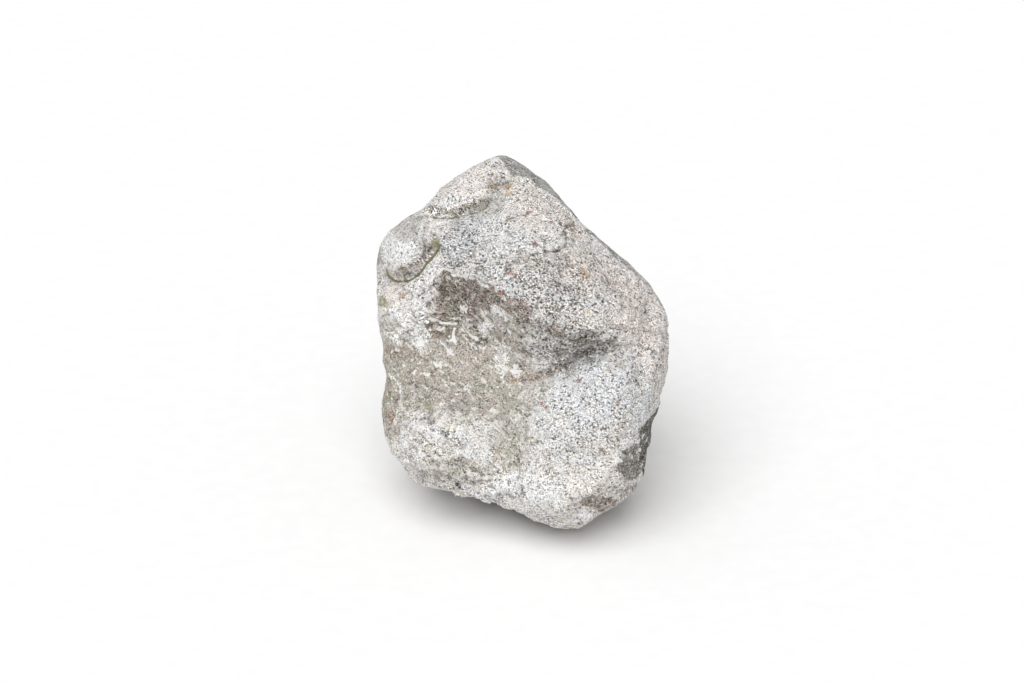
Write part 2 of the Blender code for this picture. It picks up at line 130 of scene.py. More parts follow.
# Planes as a point on them, then: turned round the outline and tilted to the front, in degrees,
# and the radius their edge is worn to.
RIM_PLANES = {
    "right flank": ((0.242, 0.02, 0.00), -2.0, 9.0, 0.014),
    "left flank": ((-0.2345, -0.11, 0.022), 181.0, 24.0, 0.008),
    "upper right": ((0.081, 0.251, -0.047), 44.5, 22.0, 0.004),
    "below left": ((-0.10, -0.235, 0.125), 245.0, 30.0, 0.010),
    "right break": ((0.187, -0.150, 0.146), -20.0, 20.0, 0.002),
    "middle break": ((0.164, -0.180, 0.184), -40.0, 30.0, 0.002),
    "lower break": ((0.160, -0.234, 0.178), -44.0, 48.0, 0.003),
}
# For the back: how fast the plane's depth grows to the right and up the face, and the radius.
BACK_PLANES = {
    "upper back": ((0.02, 0.16, -0.165), 0.15, -0.50, 0.03),
    "lower back": ((0.03, -0.10, -0.215), -0.08, 0.10, 0.02),
    "left quarter": ((-0.15, 0.02, -0.150), 0.75, -0.15, 0.02),
    "right quarter": ((0.15, -0.02, -0.160), -0.85, -0.25, 0.015),
    "nape": ((-0.12, 0.20, -0.105), 0.90, -0.95, 0.02),
    "haunch": ((0.14, -0.20, -0.130), -0.90, 0.60, 0.02),
}
HEEL = ((-0.02, -0.13, -0.09), (0.19, 0.15, 0.17), 2.4)  # middle, half-sizes and roundness
CHIP = ((0.116, -0.312, 0.232), 0.086, 0.003)  # middle and radius of a shell-like break, its edge


# ---- blending ----
def ramp(value, low, high):
    """0 below low, 1 above high and smooth between."""
    t = np.clip((value - low) / (high - low), 0.0, 1.0)
    return t * t * (3.0 - 2.0 * t)


def cut(body, cutter, edge):
    """What is inside both distances, with the edge between them worn to about this radius."""
    overlap = np.maximum(edge - np.abs(body - cutter), 0.0)
    return np.maximum(body, cutter) + overlap * overlap / (4.0 * edge)


def join(body, other, fillet):
    """What is inside either distance, with the crease between them filled."""
    return -cut(-body, -other, fillet)


def back_plane(p, at, climb, rise):
    """Height behind a plane of the back through at."""
    lift = (at[2] - p[2]) - climb * (p[0] - at[0]) - rise * (p[1] - at[1])
    return lift / math.sqrt(1.0 + climb**2 + rise**2)


def side_plane(p, at, turn, tilt):
    """Height above a plane of the rim through at."""
    turn, tilt = math.radians(turn), math.radians(tilt)
    normal = (math.cos(turn) * math.cos(tilt), math.sin(turn) * math.cos(tilt), math.sin(tilt))
    return sum((c - a) * n for c, a, n in zip(p, at, normal))


# ---- curves and strokes ----
def smooth_line(points, steps=6):
    """More rows on a smooth curve through these, whose later columns are carried along."""
    rows = np.array([points[0], *points, points[-1]], float)
    t = np.linspace(0.0, 1.0, steps, endpoint=False)[:, None]
    curves = []
    for a, b, c, d in zip(rows, rows[1:], rows[2:], rows[3:]):
        bend = t * ((2 * a - 5 * b + 4 * c - d) + t * (3 * (b - c) + d - a))
        curves.append(b + 0.5 * t * ((c - a) + bend))
    return np.concatenate([*curves, rows[-1:]])


def beside(u, v, line):
    """Distance left of the line (negative to its right), share of its length, its other columns."""
    best = np.full(u.shape, np.inf)
    side, share = np.zeros_like(best), np.zeros_like(best)
    carried = np.zeros((line.shape[1] - 2, *u.shape))
    for i, (a, b) in enumerate(zip(line, line[1:])):
        du, dv = b[0] - a[0], b[1] - a[1]
        t = np.clip(((u - a[0]) * du + (v - a[1]) * dv) / (du * du + dv * dv), 0.0, 1.0)
        far = np.hypot(u - a[0] - t * du, v - a[1] - t * dv)
        closer = far < best
        best = np.where(closer, far, best)
        side = np.where(closer, np.sign(du * (v - a[1]) - dv * (u - a[0])), side)
        share = np.where(closer, (i + t) / (len(line) - 1), share)
        for k in range(len(carried)):
            carried[k] = np.where(closer, a[k + 2] + t * (b[k + 2] - a[k + 2]), carried[k])
    return best * side, share, carried


def fading_ends(share, ends):
    """1 along a line and 0 at both its ends, where share is 0 and 1."""
    return ramp(share, 0.0, ends) * ramp(1.0 - share, 0.0, ends)


def steps_along(u, v, steps):
    """The height of these steps. The stone to the left of a step's line falls by its drop over the
    lip's width, and to the right of that foot it comes back over the reach."""
    height = np.zeros_like(u)
    for line, drops, lips, reach in steps:
        at = np.linspace(0, 1, len(line))
        spread = [np.interp(at, np.linspace(0, 1, len(given)), given) for given in (drops, lips)]
        left, share, (drop, lip) = beside(u, v, smooth_line(np.column_stack([line, *spread])) / 1000)
        fade = fading_ends(share, 0.12)
        back = np.exp(-np.maximum(-left, 0.0) / (reach / 1000 * (0.15 + 0.85 * fade)))
        height -= drop * fade * np.clip(1.0 - left / lip, 0.0, 1.0) * back
    return height


def off_middle(u, v, at_u, at_v, length, width, turn):
    """How far out of this ellipse's middle each point is: 1 on its rim."""
    turn = math.radians(turn)
    u, v = u - at_u, v - at_v
    along = (u * math.cos(turn) + v * math.sin(turn)) / length
    across = (v * math.cos(turn) - u * math.sin(turn)) / width
    return np.hypot(along, across)


def domes(u, v, swells):
    """The height of these swells, each of them smooth and zero from its ellipse's rim outwards."""
    height = np.zeros_like(u)
    for *ellipse, rise in swells:
        inside = np.maximum(1.0 - off_middle(u * 1000, v * 1000, *ellipse) ** 2, 0.0)
        height += rise / 1000 * inside**2
    return height


def eased(t, low, high, start, end):
    """From low to high as t runs from 0 to 1, with these slopes at its start and its end."""
    jump = high - low
    return low + t * (start + t * (3 * jump - 2 * start - end + t * (start + end - 2 * jump)))


def flow(x, knots, values):
    """A smooth curve through the knots that never overshoots them, read at x."""
    span = np.diff(knots)
    rise = np.diff(values) / span
    same = rise[1:] * rise[:-1] > 0
    both = np.where(same, rise[1:] + rise[:-1], 1.0)
    bend = np.where(same, 2.0 * rise[1:] * rise[:-1] / both, 0.0)
    slope = np.concatenate([rise[:1], bend, rise[-1:]])
    k = np.clip(np.searchsorted(knots, x) - 1, 0, len(span) - 1)
    t = np.clip((x - knots[k]) / span[k], 0.0, 1.0)
    return eased(t, values[k], values[k + 1], slope[k] * span[k], slope[k + 1] * span[k])


def lofted(stations, u, v):
    """Height of the surface lofted through matched profiles, on a lattice of u by v."""
    across = np.array(sorted(stations)) / 1000
    rows = np.array([stations[key] for key in sorted(stations)]) / 1000
    heights = np.empty(u.shape)
    for i, at in enumerate(u[:, 0]):
        here = np.array([at])
        knots = np.array([flow(here, across, row)[0] for row in rows[:, ::-1, 0].T])
        values = np.array([flow(here, across, row)[0] for row in rows[:, ::-1, 1].T])
        heights[i] = flow(v[i], knots, values)
    for _ in range(LOFT_BLUR):
        heights[1:-1] = (heights[:-2] + 2.0 * heights[1:-1] + heights[2:]) / 4.0
    return heights


# ---- the body ----
def outline_reach(angle):
    """The outline's distance from the middle, at these angles round it."""
    corners = np.array(OUTLINE) / 1000
    at = np.unwrap(np.arctan2(corners[:, 1], corners[:, 0]))
    reach = np.hypot(corners[:, 0], corners[:, 1])
    at = np.concatenate([at[-2:] - 2 * math.pi, at, at[:3] + 2 * math.pi])
    reach = np.concatenate([reach[-2:], reach, reach[:3]])
    angle = at[2] + np.mod(angle - at[2], 2 * math.pi)
    k = np.clip(np.searchsorted(at, angle, side="right") - 1, 2, len(at) - 3)
    span = at[k + 1] - at[k]
    start = (reach[k + 1] - reach[k - 1]) / (at[k + 1] - at[k - 1]) * span
    end = (reach[k + 2] - reach[k]) / (at[k + 2] - at[k]) * span
    return eased((angle - at[k]) / span, reach[k], reach[k + 1], start, end)


def plump_body(p):
    """The rounded form that fills the outline."""
    u, v, w = p
    across = np.hypot(u, v) / outline_reach(np.arctan2(v, u))
    off_rim = w + RIM_TILT * v
    depth = np.abs(off_rim) / np.where(off_rim > 0, FRONT_DEPTH, BACK_DEPTH)
    return ((across**ROUNDNESS + depth**ROUNDNESS) ** (1 / ROUNDNESS) - 1.0) * BACK_DEPTH


def heel(p):
    """The full lower back that the stone sits on, kept inside the outline."""
    middle, size, roundness = HEEL
    spans = (np.abs((c - m) / s) ** roundness for c, m, s in zip(p, middle, size))
    block = (sum(spans) ** (1 / roundness) - 1.0) * min(size)
    across = np.hypot(p[0], p[1]) / outline_reach(np.arctan2(p[1], p[0]))
    return cut(block, (across - HEEL_WITHIN) * BACK_DEPTH, FILLET)


def stone_form(p, front):
    """Below zero inside the stone."""
    stone = join(plump_body(p), heel(p), FILLET)
    for at, climb, rise, edge in BACK_PLANES.values():
        stone = cut(stone, back_plane(p, at, climb, rise), edge)
    stone = cut(stone, (p[2] - front) * math.cos(FRONT_SLOPE), FRONT_EDGE)
    for at, turn, tilt, edge in RIM_PLANES.values():
        stone = cut(stone, side_plane(p, at, turn, tilt), edge)
    middle, radius, edge = CHIP
    hole = radius - np.sqrt(sum((c - m) ** 2 for c, m in zip(p, middle)))
    return cut(stone, hole, edge)


# Lines on the face that steps, stains and growths follow.
KNUCKLE_SEAM = [
    (-224, 122), (-224, 113), (-220, 104), (-211, 99), (-198, 98), (-187, 99), (-178, 103),
    (-167, 113), (-156, 128), (-147, 139), (-139, 150), (-133, 160),
]
NOSE_SEAM = [
    (-162, 208), (-149, 204), (-136, 202), (-124, 201), (-111, 202), (-98, 205), (-84, 208),
    (-71, 212), (-62, 218), (-57, 227), (-57, 238),
]
HOLLOW_SIDE = [(-158, 54), (-153, 70), (-150, 86), (-145, 100), (-137, 111)]
BROW_EDGE = [
    (-160, 104), (-149, 109), (-138, 111), (-126, 112), (-112, 108), (-96, 99), (-80, 95),
    (-66, 92), (-54, 84), (-43, 73), (-30, 58), (-14, 46), (4, 38), (24, 32), (48, 20), (76, 10),
    (104, 5), (130, 5), (152, 12),
]
CREASE = [
    (-16, -72), (2, -67), (22, -60), (42, -54), (58, -48), (70, -41), (82, -33), (94, -25),
    (107, -18), (121, -12), (135, -4), (150, 3),
]
PLATE_FOOT = [
    (30, 146), (44, 143), (57, 146), (66, 153), (70, 164), (67, 177), (60, 190), (50, 203),
]
PLATE_CRACK = [(-32, 193), (-24, 198), (-16, 201), (-5, 204), (5, 206), (10, 211), (9, 217)]
CHUTE_EDGE = [(-30, 232), (-42, 212), (-54, 195), (-61, 178), (-67, 160), (-73, 146)]
LEFT_ARRIS = [(-226, -52), (-210, -66), (-203, -84), (-201, -104), (-208, -119), (-208, -140)]
BELLY_EDGE = [
    (-186, -212), (-160, -211), (-136, -210), (-112, -228), (-96, -237), (-78, -229), (-60, -236),
    (-34, -262),
]

# Steps: the line of the foot, the drops and lip widths shared out along it, and the reach beyond it.
FRONT_STEPS = [
    (KNUCKLE_SEAM, [12, 20, 24, 27, 26, 18], [14, 24, 26, 27, 26], 45),
    (NOSE_SEAM, [12, 18, 19, 18, 12], [16, 20, 19, 15], 40),
    (HOLLOW_SIDE, [3, 6, 5], [6], 12),
    (BROW_EDGE, [4, 7, 8, 7, 5, 3, 2, 3, 3, 2], [7, 8, 12], 30),
    (CREASE, [2, 5, 6, 6, 3], [14, 12, 10], 14),
    (PLATE_FOOT, [4, 7, 8, 7, 4], [6], 30),
    (PLATE_CRACK, [2, 4, 3], [4], 16),
    (CHUTE_EDGE, [5, 7, 6, 3], [10], 40),
    (LEFT_ARRIS, [5, 10, 10, 5], [4], 35),
    (BELLY_EDGE, [3, 5, 6, 5, 4, 5], [8], 50),
]
BACK_STEPS = [
    ([(-160, 120), (-120, 106), (-90, 100), (-50, 108), (-15, 132), (0, 170), (-12, 230)],
     [8, 14, 16, 12, 6], [10], 45),
    ([(10, -90), (60, -62), (110, -52), (170, -20)], [8, 13, 13, 8], [10], 50),
]
# Swells and, with a negative rise, hollows: an ellipse's middle, half-sizes and turn in degrees, then
# the rise. The back's steps and swells are seen through the stone: u still runs to the front's right.
FRONT_SWELLS = [
    (-125, -152, 100, 62, 8, 12),  # the lower left bulge
    (105, -115, 120, 85, 30, 12),  # the lower right one
    (20, 110, 85, 65, -20, 10),  # the brow
    (-120, -15, 120, 60, -15, -10),  # the basin
    (120, 75, 60, 45, -50, 6),
    (-200, 158, 62, 74, -30, 14),  # the knuckle
    (-98, 238, 62, 42, 10, 8),  # and the nose
    (-190, 60, 26, 20, 30, 7),  # lumps under the knuckle
    (-206, 74, 16, 14, 0, 5),
    (-172, 78, 14, 12, 40, 4),
    (-186, 22, 30, 18, -30, 5),
    (-150, 186, 26, 16, 60, 5),  # the pale lump between the knuckle and the nose
    (-150, 60, 20, 34, 10, 5), (-60, 20, 26, 14, -20, 4), (-20, -5, 34, 20, 10, 4),
    (-96, -60, 50, 16, -38, -3), (30, 0, 30, 16, 20, 4), (80, -10, 24, 12, 20, 3),
    (-44, 150, 22, 16, 0, 3), (-90, 150, 24, 20, 30, -4), (60, 75, 40, 24, -40, 4),
    (170, 40, 18, 50, 12, 4), (196, 60, 9, 44, 16, -4), (-45, -200, 50, 90, 10, -5),
    (-26, -140, 34, 60, 24, -3), (-66, -112, 44, 30, -20, 4), (150, -60, 40, 60, -20, 4),
    (20, -230, 70, 40, -20, 5), (-42, 286, 10, 6, 10, 3),
]
BACK_SWELLS = [
    (80, 100, 110, 80, 30, -12), (-110, -60, 100, 80, 10, -10), (-60, 200, 60, 40, -20, 6),
    (110, -120, 60, 50, 15, 7), (-10, -20, 70, 50, 40, 6),
]


class FrontMap:
    """The lofted front worked out once on a fine square lattice, then read between its points."""

    def __init__(self):
        self.low = np.array([-MAP_HALF[0], -MAP_HALF[1]])
        count = [round(2 * half / MAP_STEP) + 1 for half in MAP_HALF]
        lines = [low + MAP_STEP * np.arange(n) for low, n in zip(self.low, count)]
        self.heights = lofted(FRONT, *np.meshgrid(*lines, indexing="ij"))

    def at(self, u, v):
        top = np.array(self.heights.shape) - 2
        x = np.clip((u - self.low[0]) / MAP_STEP, 0.0, top[0] + 0.999)
        y = np.clip((v - self.low[1]) / MAP_STEP, 0.0, top[1] + 0.999)
        i, j = x.astype(int), y.astype(int)
        x, y, h = x - i, y - j, self.heights
        near = h[i, j] * (1 - x) + h[i + 1, j] * x
        far = h[i, j + 1] * (1 - x) + h[i + 1, j + 1] * x
        return near * (1 - y) + far * y


def surface_points(directions):
    """The stone's surface along these rays from the middle, as face coordinates."""
    front = FrontMap()
    near, far = (np.full(len(directions), reach) for reach in RAYS)
    for _ in range(HALVINGS):
        middle = (near + far) / 2
        p = (directions * middle[:, None]).T
        height = CENTRE_HEIGHT + p[1] * UP.z + p[2] * OUT.z
        inside = np.maximum(stone_form(p, front.at(p[0], p[1])), -height) < 0
        near = np.where(inside, middle, near)
        far = np.where(inside, far, middle)
    points = directions * near[:, None]
    near += sum(height * noise_at(points, cycles) for cycles, height in SWELLS)
    u, v, w = (directions * near[:, None]).T
    facing = w + RIM_TILT * v
    front_relief = steps_along(u, v, FRONT_STEPS) + domes(u, v, FRONT_SWELLS)
    back_relief = steps_along(u, v, BACK_STEPS) + domes(u, v, BACK_SWELLS)
    w = w + front_relief * ramp(facing, 0.0, RELIEF_FADE)
    w = w - back_relief * ramp(-facing, 0.0, RELIEF_FADE)
    return np.stack([u, v, w], axis=1)


def wrapped_grid():
    """A cube's surface split into squares and wrapped on a ball, crowded towards the front."""
    grid = bmesh.new()
    bmesh.ops.create_cube(grid, size=2.0)
    bmesh.ops.subdivide_edges(grid, edges=grid.edges[:], cuts=GRID - 1, use_grid_fill=True)
    directions = np.array([[math.tan(c * math.pi / 4) for c in vertex.co] for vertex in grid.verts])
    directions /= np.linalg.norm(directions, axis=1)[:, None]
    flat = directions[:, :2] / (1.0 + directions[:, 2:]).clip(1e-9) * FRONT_SHARE
    size = (flat**2).sum(axis=1)[:, None]
    crowded = np.concatenate([2 * flat, 1 - size], axis=1) / (1 + size)
    behind = directions[:, 2] < -1 + 1e-9
    return grid, np.where(behind[:, None], directions, crowded)


def to_world(points):
    """Face coordinates to the world's, with nothing below the ground."""
    u, v, w = points.T
    height = CENTRE_HEIGHT + v * UP.z + w * OUT.z
    return np.stack([u, v * UP.y + w * OUT.y, np.maximum(height, 0.0)], axis=1)


# ---- where things lie on the face ----
# Edges, streaks and cracks as lines.
ARRIS = [
    (-40, 304), (-28, 287), (-20, 274), (0, 270), (14, 264), (30, 251), (47, 241), (64, 225),
    (81, 208), (98, 191), (125, 163), (149, 140), (174, 117), (198, 91), (226, 60),
]
PALE_RIDGE = [(-165, 128), (-157, 152), (-162, 171), (-158, 190), (-152, 204)]
NOSE_RIDGE = [(-148, 198), (-142, 212), (-130, 224), (-108, 234), (-84, 238), (-62, 240)]
RIDGE_STEPS = [(PALE_RIDGE, [3, 6, 6, 3], [7], 16), (NOSE_RIDGE, [3, 5, 6, 4], [8], 14)]
SPECKLED_RIDGE = [(-136, 152), (-150, 118), (-170, 92), (-182, 66), (-196, 40), (-204, 12)]
BREAK_EDGE = [
    (207, -117), (195, -126), (183, -134), (180, -144), (180, -156), (168, -160), (158, -163),
    (150, -169), (147, -181), (144, -196), (147, -208), (140, -217), (134, -229), (134, -238),
]
BREAK_RIDGE = [(180, -158), (182, -172), (184, -186), (190, -202)]
CHIP_TOP = [(82, -251), (94, -246), (106, -243), (118, -244), (130, -248), (144, -253), (156, -256)]
WHITE_STREAKS = [
    [(-152, 94), (-142, 106), (-128, 116), (-112, 108), (-98, 104), (-80, 99), (-66, 92), (-52, 82)],
    [(-152, 34), (-142, 36), (-134, 31), (-119, 31), (-106, 26)],
    [(-111, 24), (-116, 10), (-108, -3)],
    [(-98, 30), (-92, 14), (-82, 9), (-70, 0)],
    [(-138, 2), (-128, -8), (-122, -20)],
    [(171, 14), (175, 6), (177, -4), (181, -12)],
]
CRACKS = [[(63, 129), (68, 125), (73, 118)], [(126, 113), (131, 107), (135, 100), (142, 87)]]

# Closed outlines.
DARK_PATCH = [
    (-150, 72), (-144, 54), (-128, 44), (-105, 47), (-78, 43), (-54, 56), (-42, 68), (-46, 84),
    (-66, 95), (-96, 100), (-114, 112), (-140, 110),
]
RIGHT_BREAK = [
    (236, -94), (224, -104), (208, -116), (196, -126), (185, -138), (184, -152), (185, -170),
    (187, -187), (193, -212), (215, -205), (232, -150),
]
MIDDLE_BREAK = [
    (147, -200), (151, -184), (158, -173), (169, -167), (181, -163), (184, -172), (185, -186),
    (190, -204), (186, -216), (172, -222), (158, -214),
]
LOWER_BREAK = [
    (163, -215), (151, -219), (141, -236), (137, -248), (156, -261), (177, -245), (187, -228),
    (187, -219),
]
CHIP_FLOOR = [
    (84, -252), (94, -259), (111, -267), (128, -272), (144, -266), (155, -256), (131, -250),
    (116, -246), (100, -244),
]
WEDGE = [
    (-232, -52), (-240, -100), (-232, -140), (-218, -150), (-207, -139), (-209, -123), (-201, -106),
    (-203, -87), (-208, -71), (-220, -58),
]

# What lies on the face is bent by noises, as (cycles to the metre, reach in mm): strongly where it
# has no clear edge and slightly where it has.
FAR_BENDS = [(20.0, 9.0), (60.0, 5.0)]
NEAR_BENDS = [(45.0, 3.0), (130.0, 2.2)]

# Ellipses as (u, v, half-width, half-height, turn in degrees, strength).
VEINED = [
    (-112, 14, 66, 34, -24, 1.0), (-60, -24, 56, 40, -40, 0.9), (-170, 40, 30, 40, 0, 0.6),
    (-150, -40, 60, 40, -30, 0.5), (-30, 40, 40, 30, -30, 0.6), (170, -150, 30, 60, 20, 0.5),
    (-90, -150, 90, 40, 0, 0.5),
]
PATINA = [
    (-111, -54, 135, 68, -12, 1.0), (-24, -140, 40, 90, 8, 0.62), (-42, 2, 60, 46, 0, 0.8),
    (-206, -40, 44, 80, 0, 1.0), (-130, -30, 70, 50, -20, 1.0), (-216, -110, 24, 50, 0, 0.9),
    (-112, -206, 84, 28, 6, 0.6), (-136, 22, 50, 30, 0, 0.9), (-48, 256, 30, 28, 0, 0.5),
    (-206, 120, 26, 22, 0, 0.5), (58, -262, 60, 24, -10, 0.5), (-4, 128, 40, 22, 0, 0.5),
    (142, -38, 26, 14, 10, 0.6), (56, -192, 44, 26, 0, 0.35), (-200, 84, 40, 16, -20, 0.5),
]
STAINS = [
    (-136, 18, 34, 17, 0, 1.0), (-14, 58, 32, 14, -35, 0.75), (72, -4, 30, 6, 8, 0.48),
    (-188, -20, 24, 34, 10, 0.5), (152, 22, 18, 9, 10, 0.45), (118, 16, 30, 12, -4, 0.45),
    (79, 190, 13, 26, 20, 0.5), (-46, 256, 26, 18, 20, 0.5), (-210, -17, 20, 14, 0, 0.6),
    (-120, 44, 60, 16, -10, 0.6), (-92, 16, 30, 22, 0, 0.5), (-100, -10, 24, 12, 0, 0.3),
    (-60, 238, 16, 12, 40, 0.4), (-178, 52, 8, 10, 0, 0.3), (-170, -58, 40, 28, 0, 0.46),
    (170, -238, 24, 14, 40, 0.5),
]
BLEACH = [
    (-184, 38, 30, 30, -40, 0.85), (-193, 67, 18, 14, 0, 0.9), (-172, 2, 26, 16, -40, 0.8),
    (-203, 147, 27, 19, -20, 1.4), (-210, 76, 18, 14, 0, 1.2), (-139, 184, 20, 14, 0, 1.2),
    (8, -240, 60, 26, -14, 1.0), (-132, -132, 54, 22, 4, 0.1), (-88, 266, 30, 22, 30, 0.5),
    (-46, 300, 12, 7, 10, 1.0), (-38, 171, 30, 34, 60, 0.8), (-73, -176, 26, 22, 0, 0.6),
    (112, -222, 44, 24, 30, 0.6), (-112, 224, 32, 18, 30, 0.6), (-171, 92, 18, 26, -30, 0.6),
    (-210, 11, 20, 16, 0, 0.6), (-60, 23, 16, 10, 10, 0.9), (26, 215, 46, 26, -30, 0.45),
    (-190, -172, 26, 34, 30, 0.6), (60, -246, 50, 14, 0, 0.5), (-214, -190, 20, 30, 40, 0.5),
    (-38, -24, 14, 18, 0, 0.9), (190, 60, 40, 80, 14, 0.65), (26, 172, 44, 30, 0, 1.15),
    (102, 102, 26, 22, 0, 0.4), (160, 126, 24, 20, 0, 0.6), (0, -246, 60, 20, -14, 0.5),
    (-206, 70, 22, 18, 0, 1.0), (144, 7, 8, 6, 0, 1.0), (-224, 160, 12, 30, -10, 0.8),
]
WARM = [
    (187, 51, 44, 84, 14, 1.0), (-208, 76, 22, 18, 0, 1.0), (121, -228, 50, 26, 20, 0.8),
    (26, 204, 56, 36, -36, 0.7), (213, -14, 24, 50, 0, 0.9), (90, 112, 46, 34, -40, 0.8),
    (80, 188, 18, 28, 20, 1.0), (-140, 183, 22, 14, 0, 0.8), (-84, 262, 40, 20, 30, 0.6),
    (-40, -40, 50, 40, 0, 0.4),
]
COOL = [
    (-103, 166, 44, 34, 0, 0.9), (-14, 162, 34, 22, 0, 0.6), (120, -72, 84, 54, 20, 0.8),
    (57, -128, 50, 50, 0, 0.6), (-79, 196, 32, 22, 20, 0.8), (170, -96, 34, 34, 0, 0.6),
    (10, 100, 80, 30, -10, 0.4),
]
CALM = [
    (-194, 182, 40, 50, 20, 1.0), (-43, 239, 16, 18, 0, 0.8), (-66, 210, 22, 14, 30, 1.0),
    (-112, 188, 30, 10, 12, 0.7), (-39, 290, 18, 14, 0, 0.8), (-60, 222, 12, 16, -20, 0.8),
]
FLECKED = [
    (25, 97, 110, 50, -14, 1.0), (-103, 152, 48, 36, 10, 0.9), (120, -80, 90, 60, 20, 0.15),
    (-16, 150, 60, 40, 0, 0.7), (130, 60, 60, 50, -40, 0.1), (-100, 78, 50, 34, 0, 0.8),
    (100, -160, 60, 60, 0, 0.15), (-186, 92, 30, 24, 0, 0.5), (60, -4, 84, 36, -14, 1.0),
]
RUGGED = [
    (-96, 84, 70, 34, -10, 0.5), (-100, 20, 80, 40, -10, 0.8), (190, 40, 50, 90, 15, 1.0),
    (170, -190, 40, 50, 20, 0.4), (110, -262, 60, 24, 20, 0.8), (-186, 50, 44, 40, 0, 0.8),
    (-190, -150, 60, 70, 20, 0.7), (-100, -235, 110, 24, -6, 0.9), (60, 4, 90, 36, -16, 0.7),
    (70, 170, 40, 50, 0, 0.5), (-40, 240, 60, 40, 0, 0.5),
]
ALGAE = [
    (-219, 110, 13, 12, 0, 0.55), (-142, 157, 11, 13, -20, 1.0), (-151, -102, 13, 5, 6, 1.0),
    (-230, 68, 9, 10, 0, 0.8), (-39, 256, 14, 14, 0, 0.4), (-147, 128, 12, 12, 0, 0.3),
    (-60, 20, 60, 20, -20, 0.25), (57, 4, 60, 14, -20, 0.3), (-228, -90, 12, 40, 0, 0.4),
    (-60, -130, 40, 40, 0, 0.2), (60, -272, 40, 12, 0, 0.35), (-206, 92, 24, 8, 10, 0.3),
]
# Rust spots as (u, v, radius, how yellow).
RUST = [
    (-50, 86, 5, 0), (-37, 76, 7, 0), (-24, 108, 5, 0), (-13, 105, 5, 0), (43, 191, 4, 0),
    (17, 154, 6, 0), (7, 211, 6, 0), (-25, 253, 7, 1), (-26, 241, 6, 1), (94, 111, 6, 1),
    (102, 104, 5, 1), (50, 21, 4, 0), (89, 15, 4, 0), (87, -61, 5, 0), (164, -66, 4, 0),
    (149, -97, 5, 0), (122, -170, 5, 0), (116, -178, 4, 0), (27, -98, 4, 0), (35, -105, 5, 0),
    (221, -103, 6, 0), (-213, -129, 8, 0), (154, -145, 4, 0), (150, -157, 3, 0), (-15, -62, 4, 1),
    (239, -4, 8, 1), (-199, 74, 5, 1), (70, 120, 4, 0), (139, 94, 4, 0),
]


def ellipses(u, v, spots, soft=0.55):
    """The strongest of these ellipses at each point, each fading across its rim."""
    strongest = np.zeros_like(u)
    for *ellipse, strength in spots:
        inside = 1.0 - ramp(off_middle(u, v, *ellipse), 1.0 - soft, 1.0 + soft)
        strongest = np.maximum(strongest, strength * inside)
    return strongest


def stroke(u, v, line, width, offset=0.0):
    """1 on the line, fading over its width; an offset moves it to the left."""
    left, share, _ = beside(u, v, smooth_line(line))
    return np.exp(-(((left - offset) / width) ** 2)) * fading_ends(share, 0.06)


def above(u, v, line, reach):
    """1 just to the left of the line, crisp along it and fading away from it over the reach."""
    left, share, _ = beside(u, v, smooth_line(line))
    return ramp(left, -1.5, 1.5) * np.exp(-((left / reach) ** 2)) * fading_ends(share, 0.10)


def patch(u, v, outline, soft):
    """1 inside the closed outline, fading across its edge."""
    line = smooth_line([*outline, outline[0]])
    far = np.abs(beside(u, v, line)[0])
    inside = np.zeros(u.shape, bool)
    for a, b in zip(line, line[1:]):
        crossed = (a[1] > v) != (b[1] > v)
        climb = b[1] - a[1] if b[1] != a[1] else 1.0
        inside ^= crossed & (u < a[0] + (v - a[1]) / climb * (b[0] - a[0]))
    return ramp(np.where(inside, far, -far), -soft, soft)


def most(*masks):
    return np.maximum.reduce(masks)


def bent_places(points, bends, shift):
    """Places on the face in millimetres, pushed about so that what lies there has uneven edges."""
    place = points.T[:2] * 1000
    for axis in range(2):
        for k, (cycles, reach) in enumerate(bends):
            place[axis] += reach * noise_at(points, cycles, shift + 6.0 * axis + 2.0 * k)
    return place


def rust_spots(u, v):
    """The rust at each point, and how much of it is yellow."""
    rust, yellow = np.zeros_like(u), np.zeros_like(u)
    for at_u, at_v, radius, tint in RUST:
        near = np.exp(-(((u - at_u) ** 2 + (v - at_v) ** 2) / radius**2))
        rust, yellow = np.maximum(rust, near), np.maximum(yellow, near * tint)
    return rust, yellow


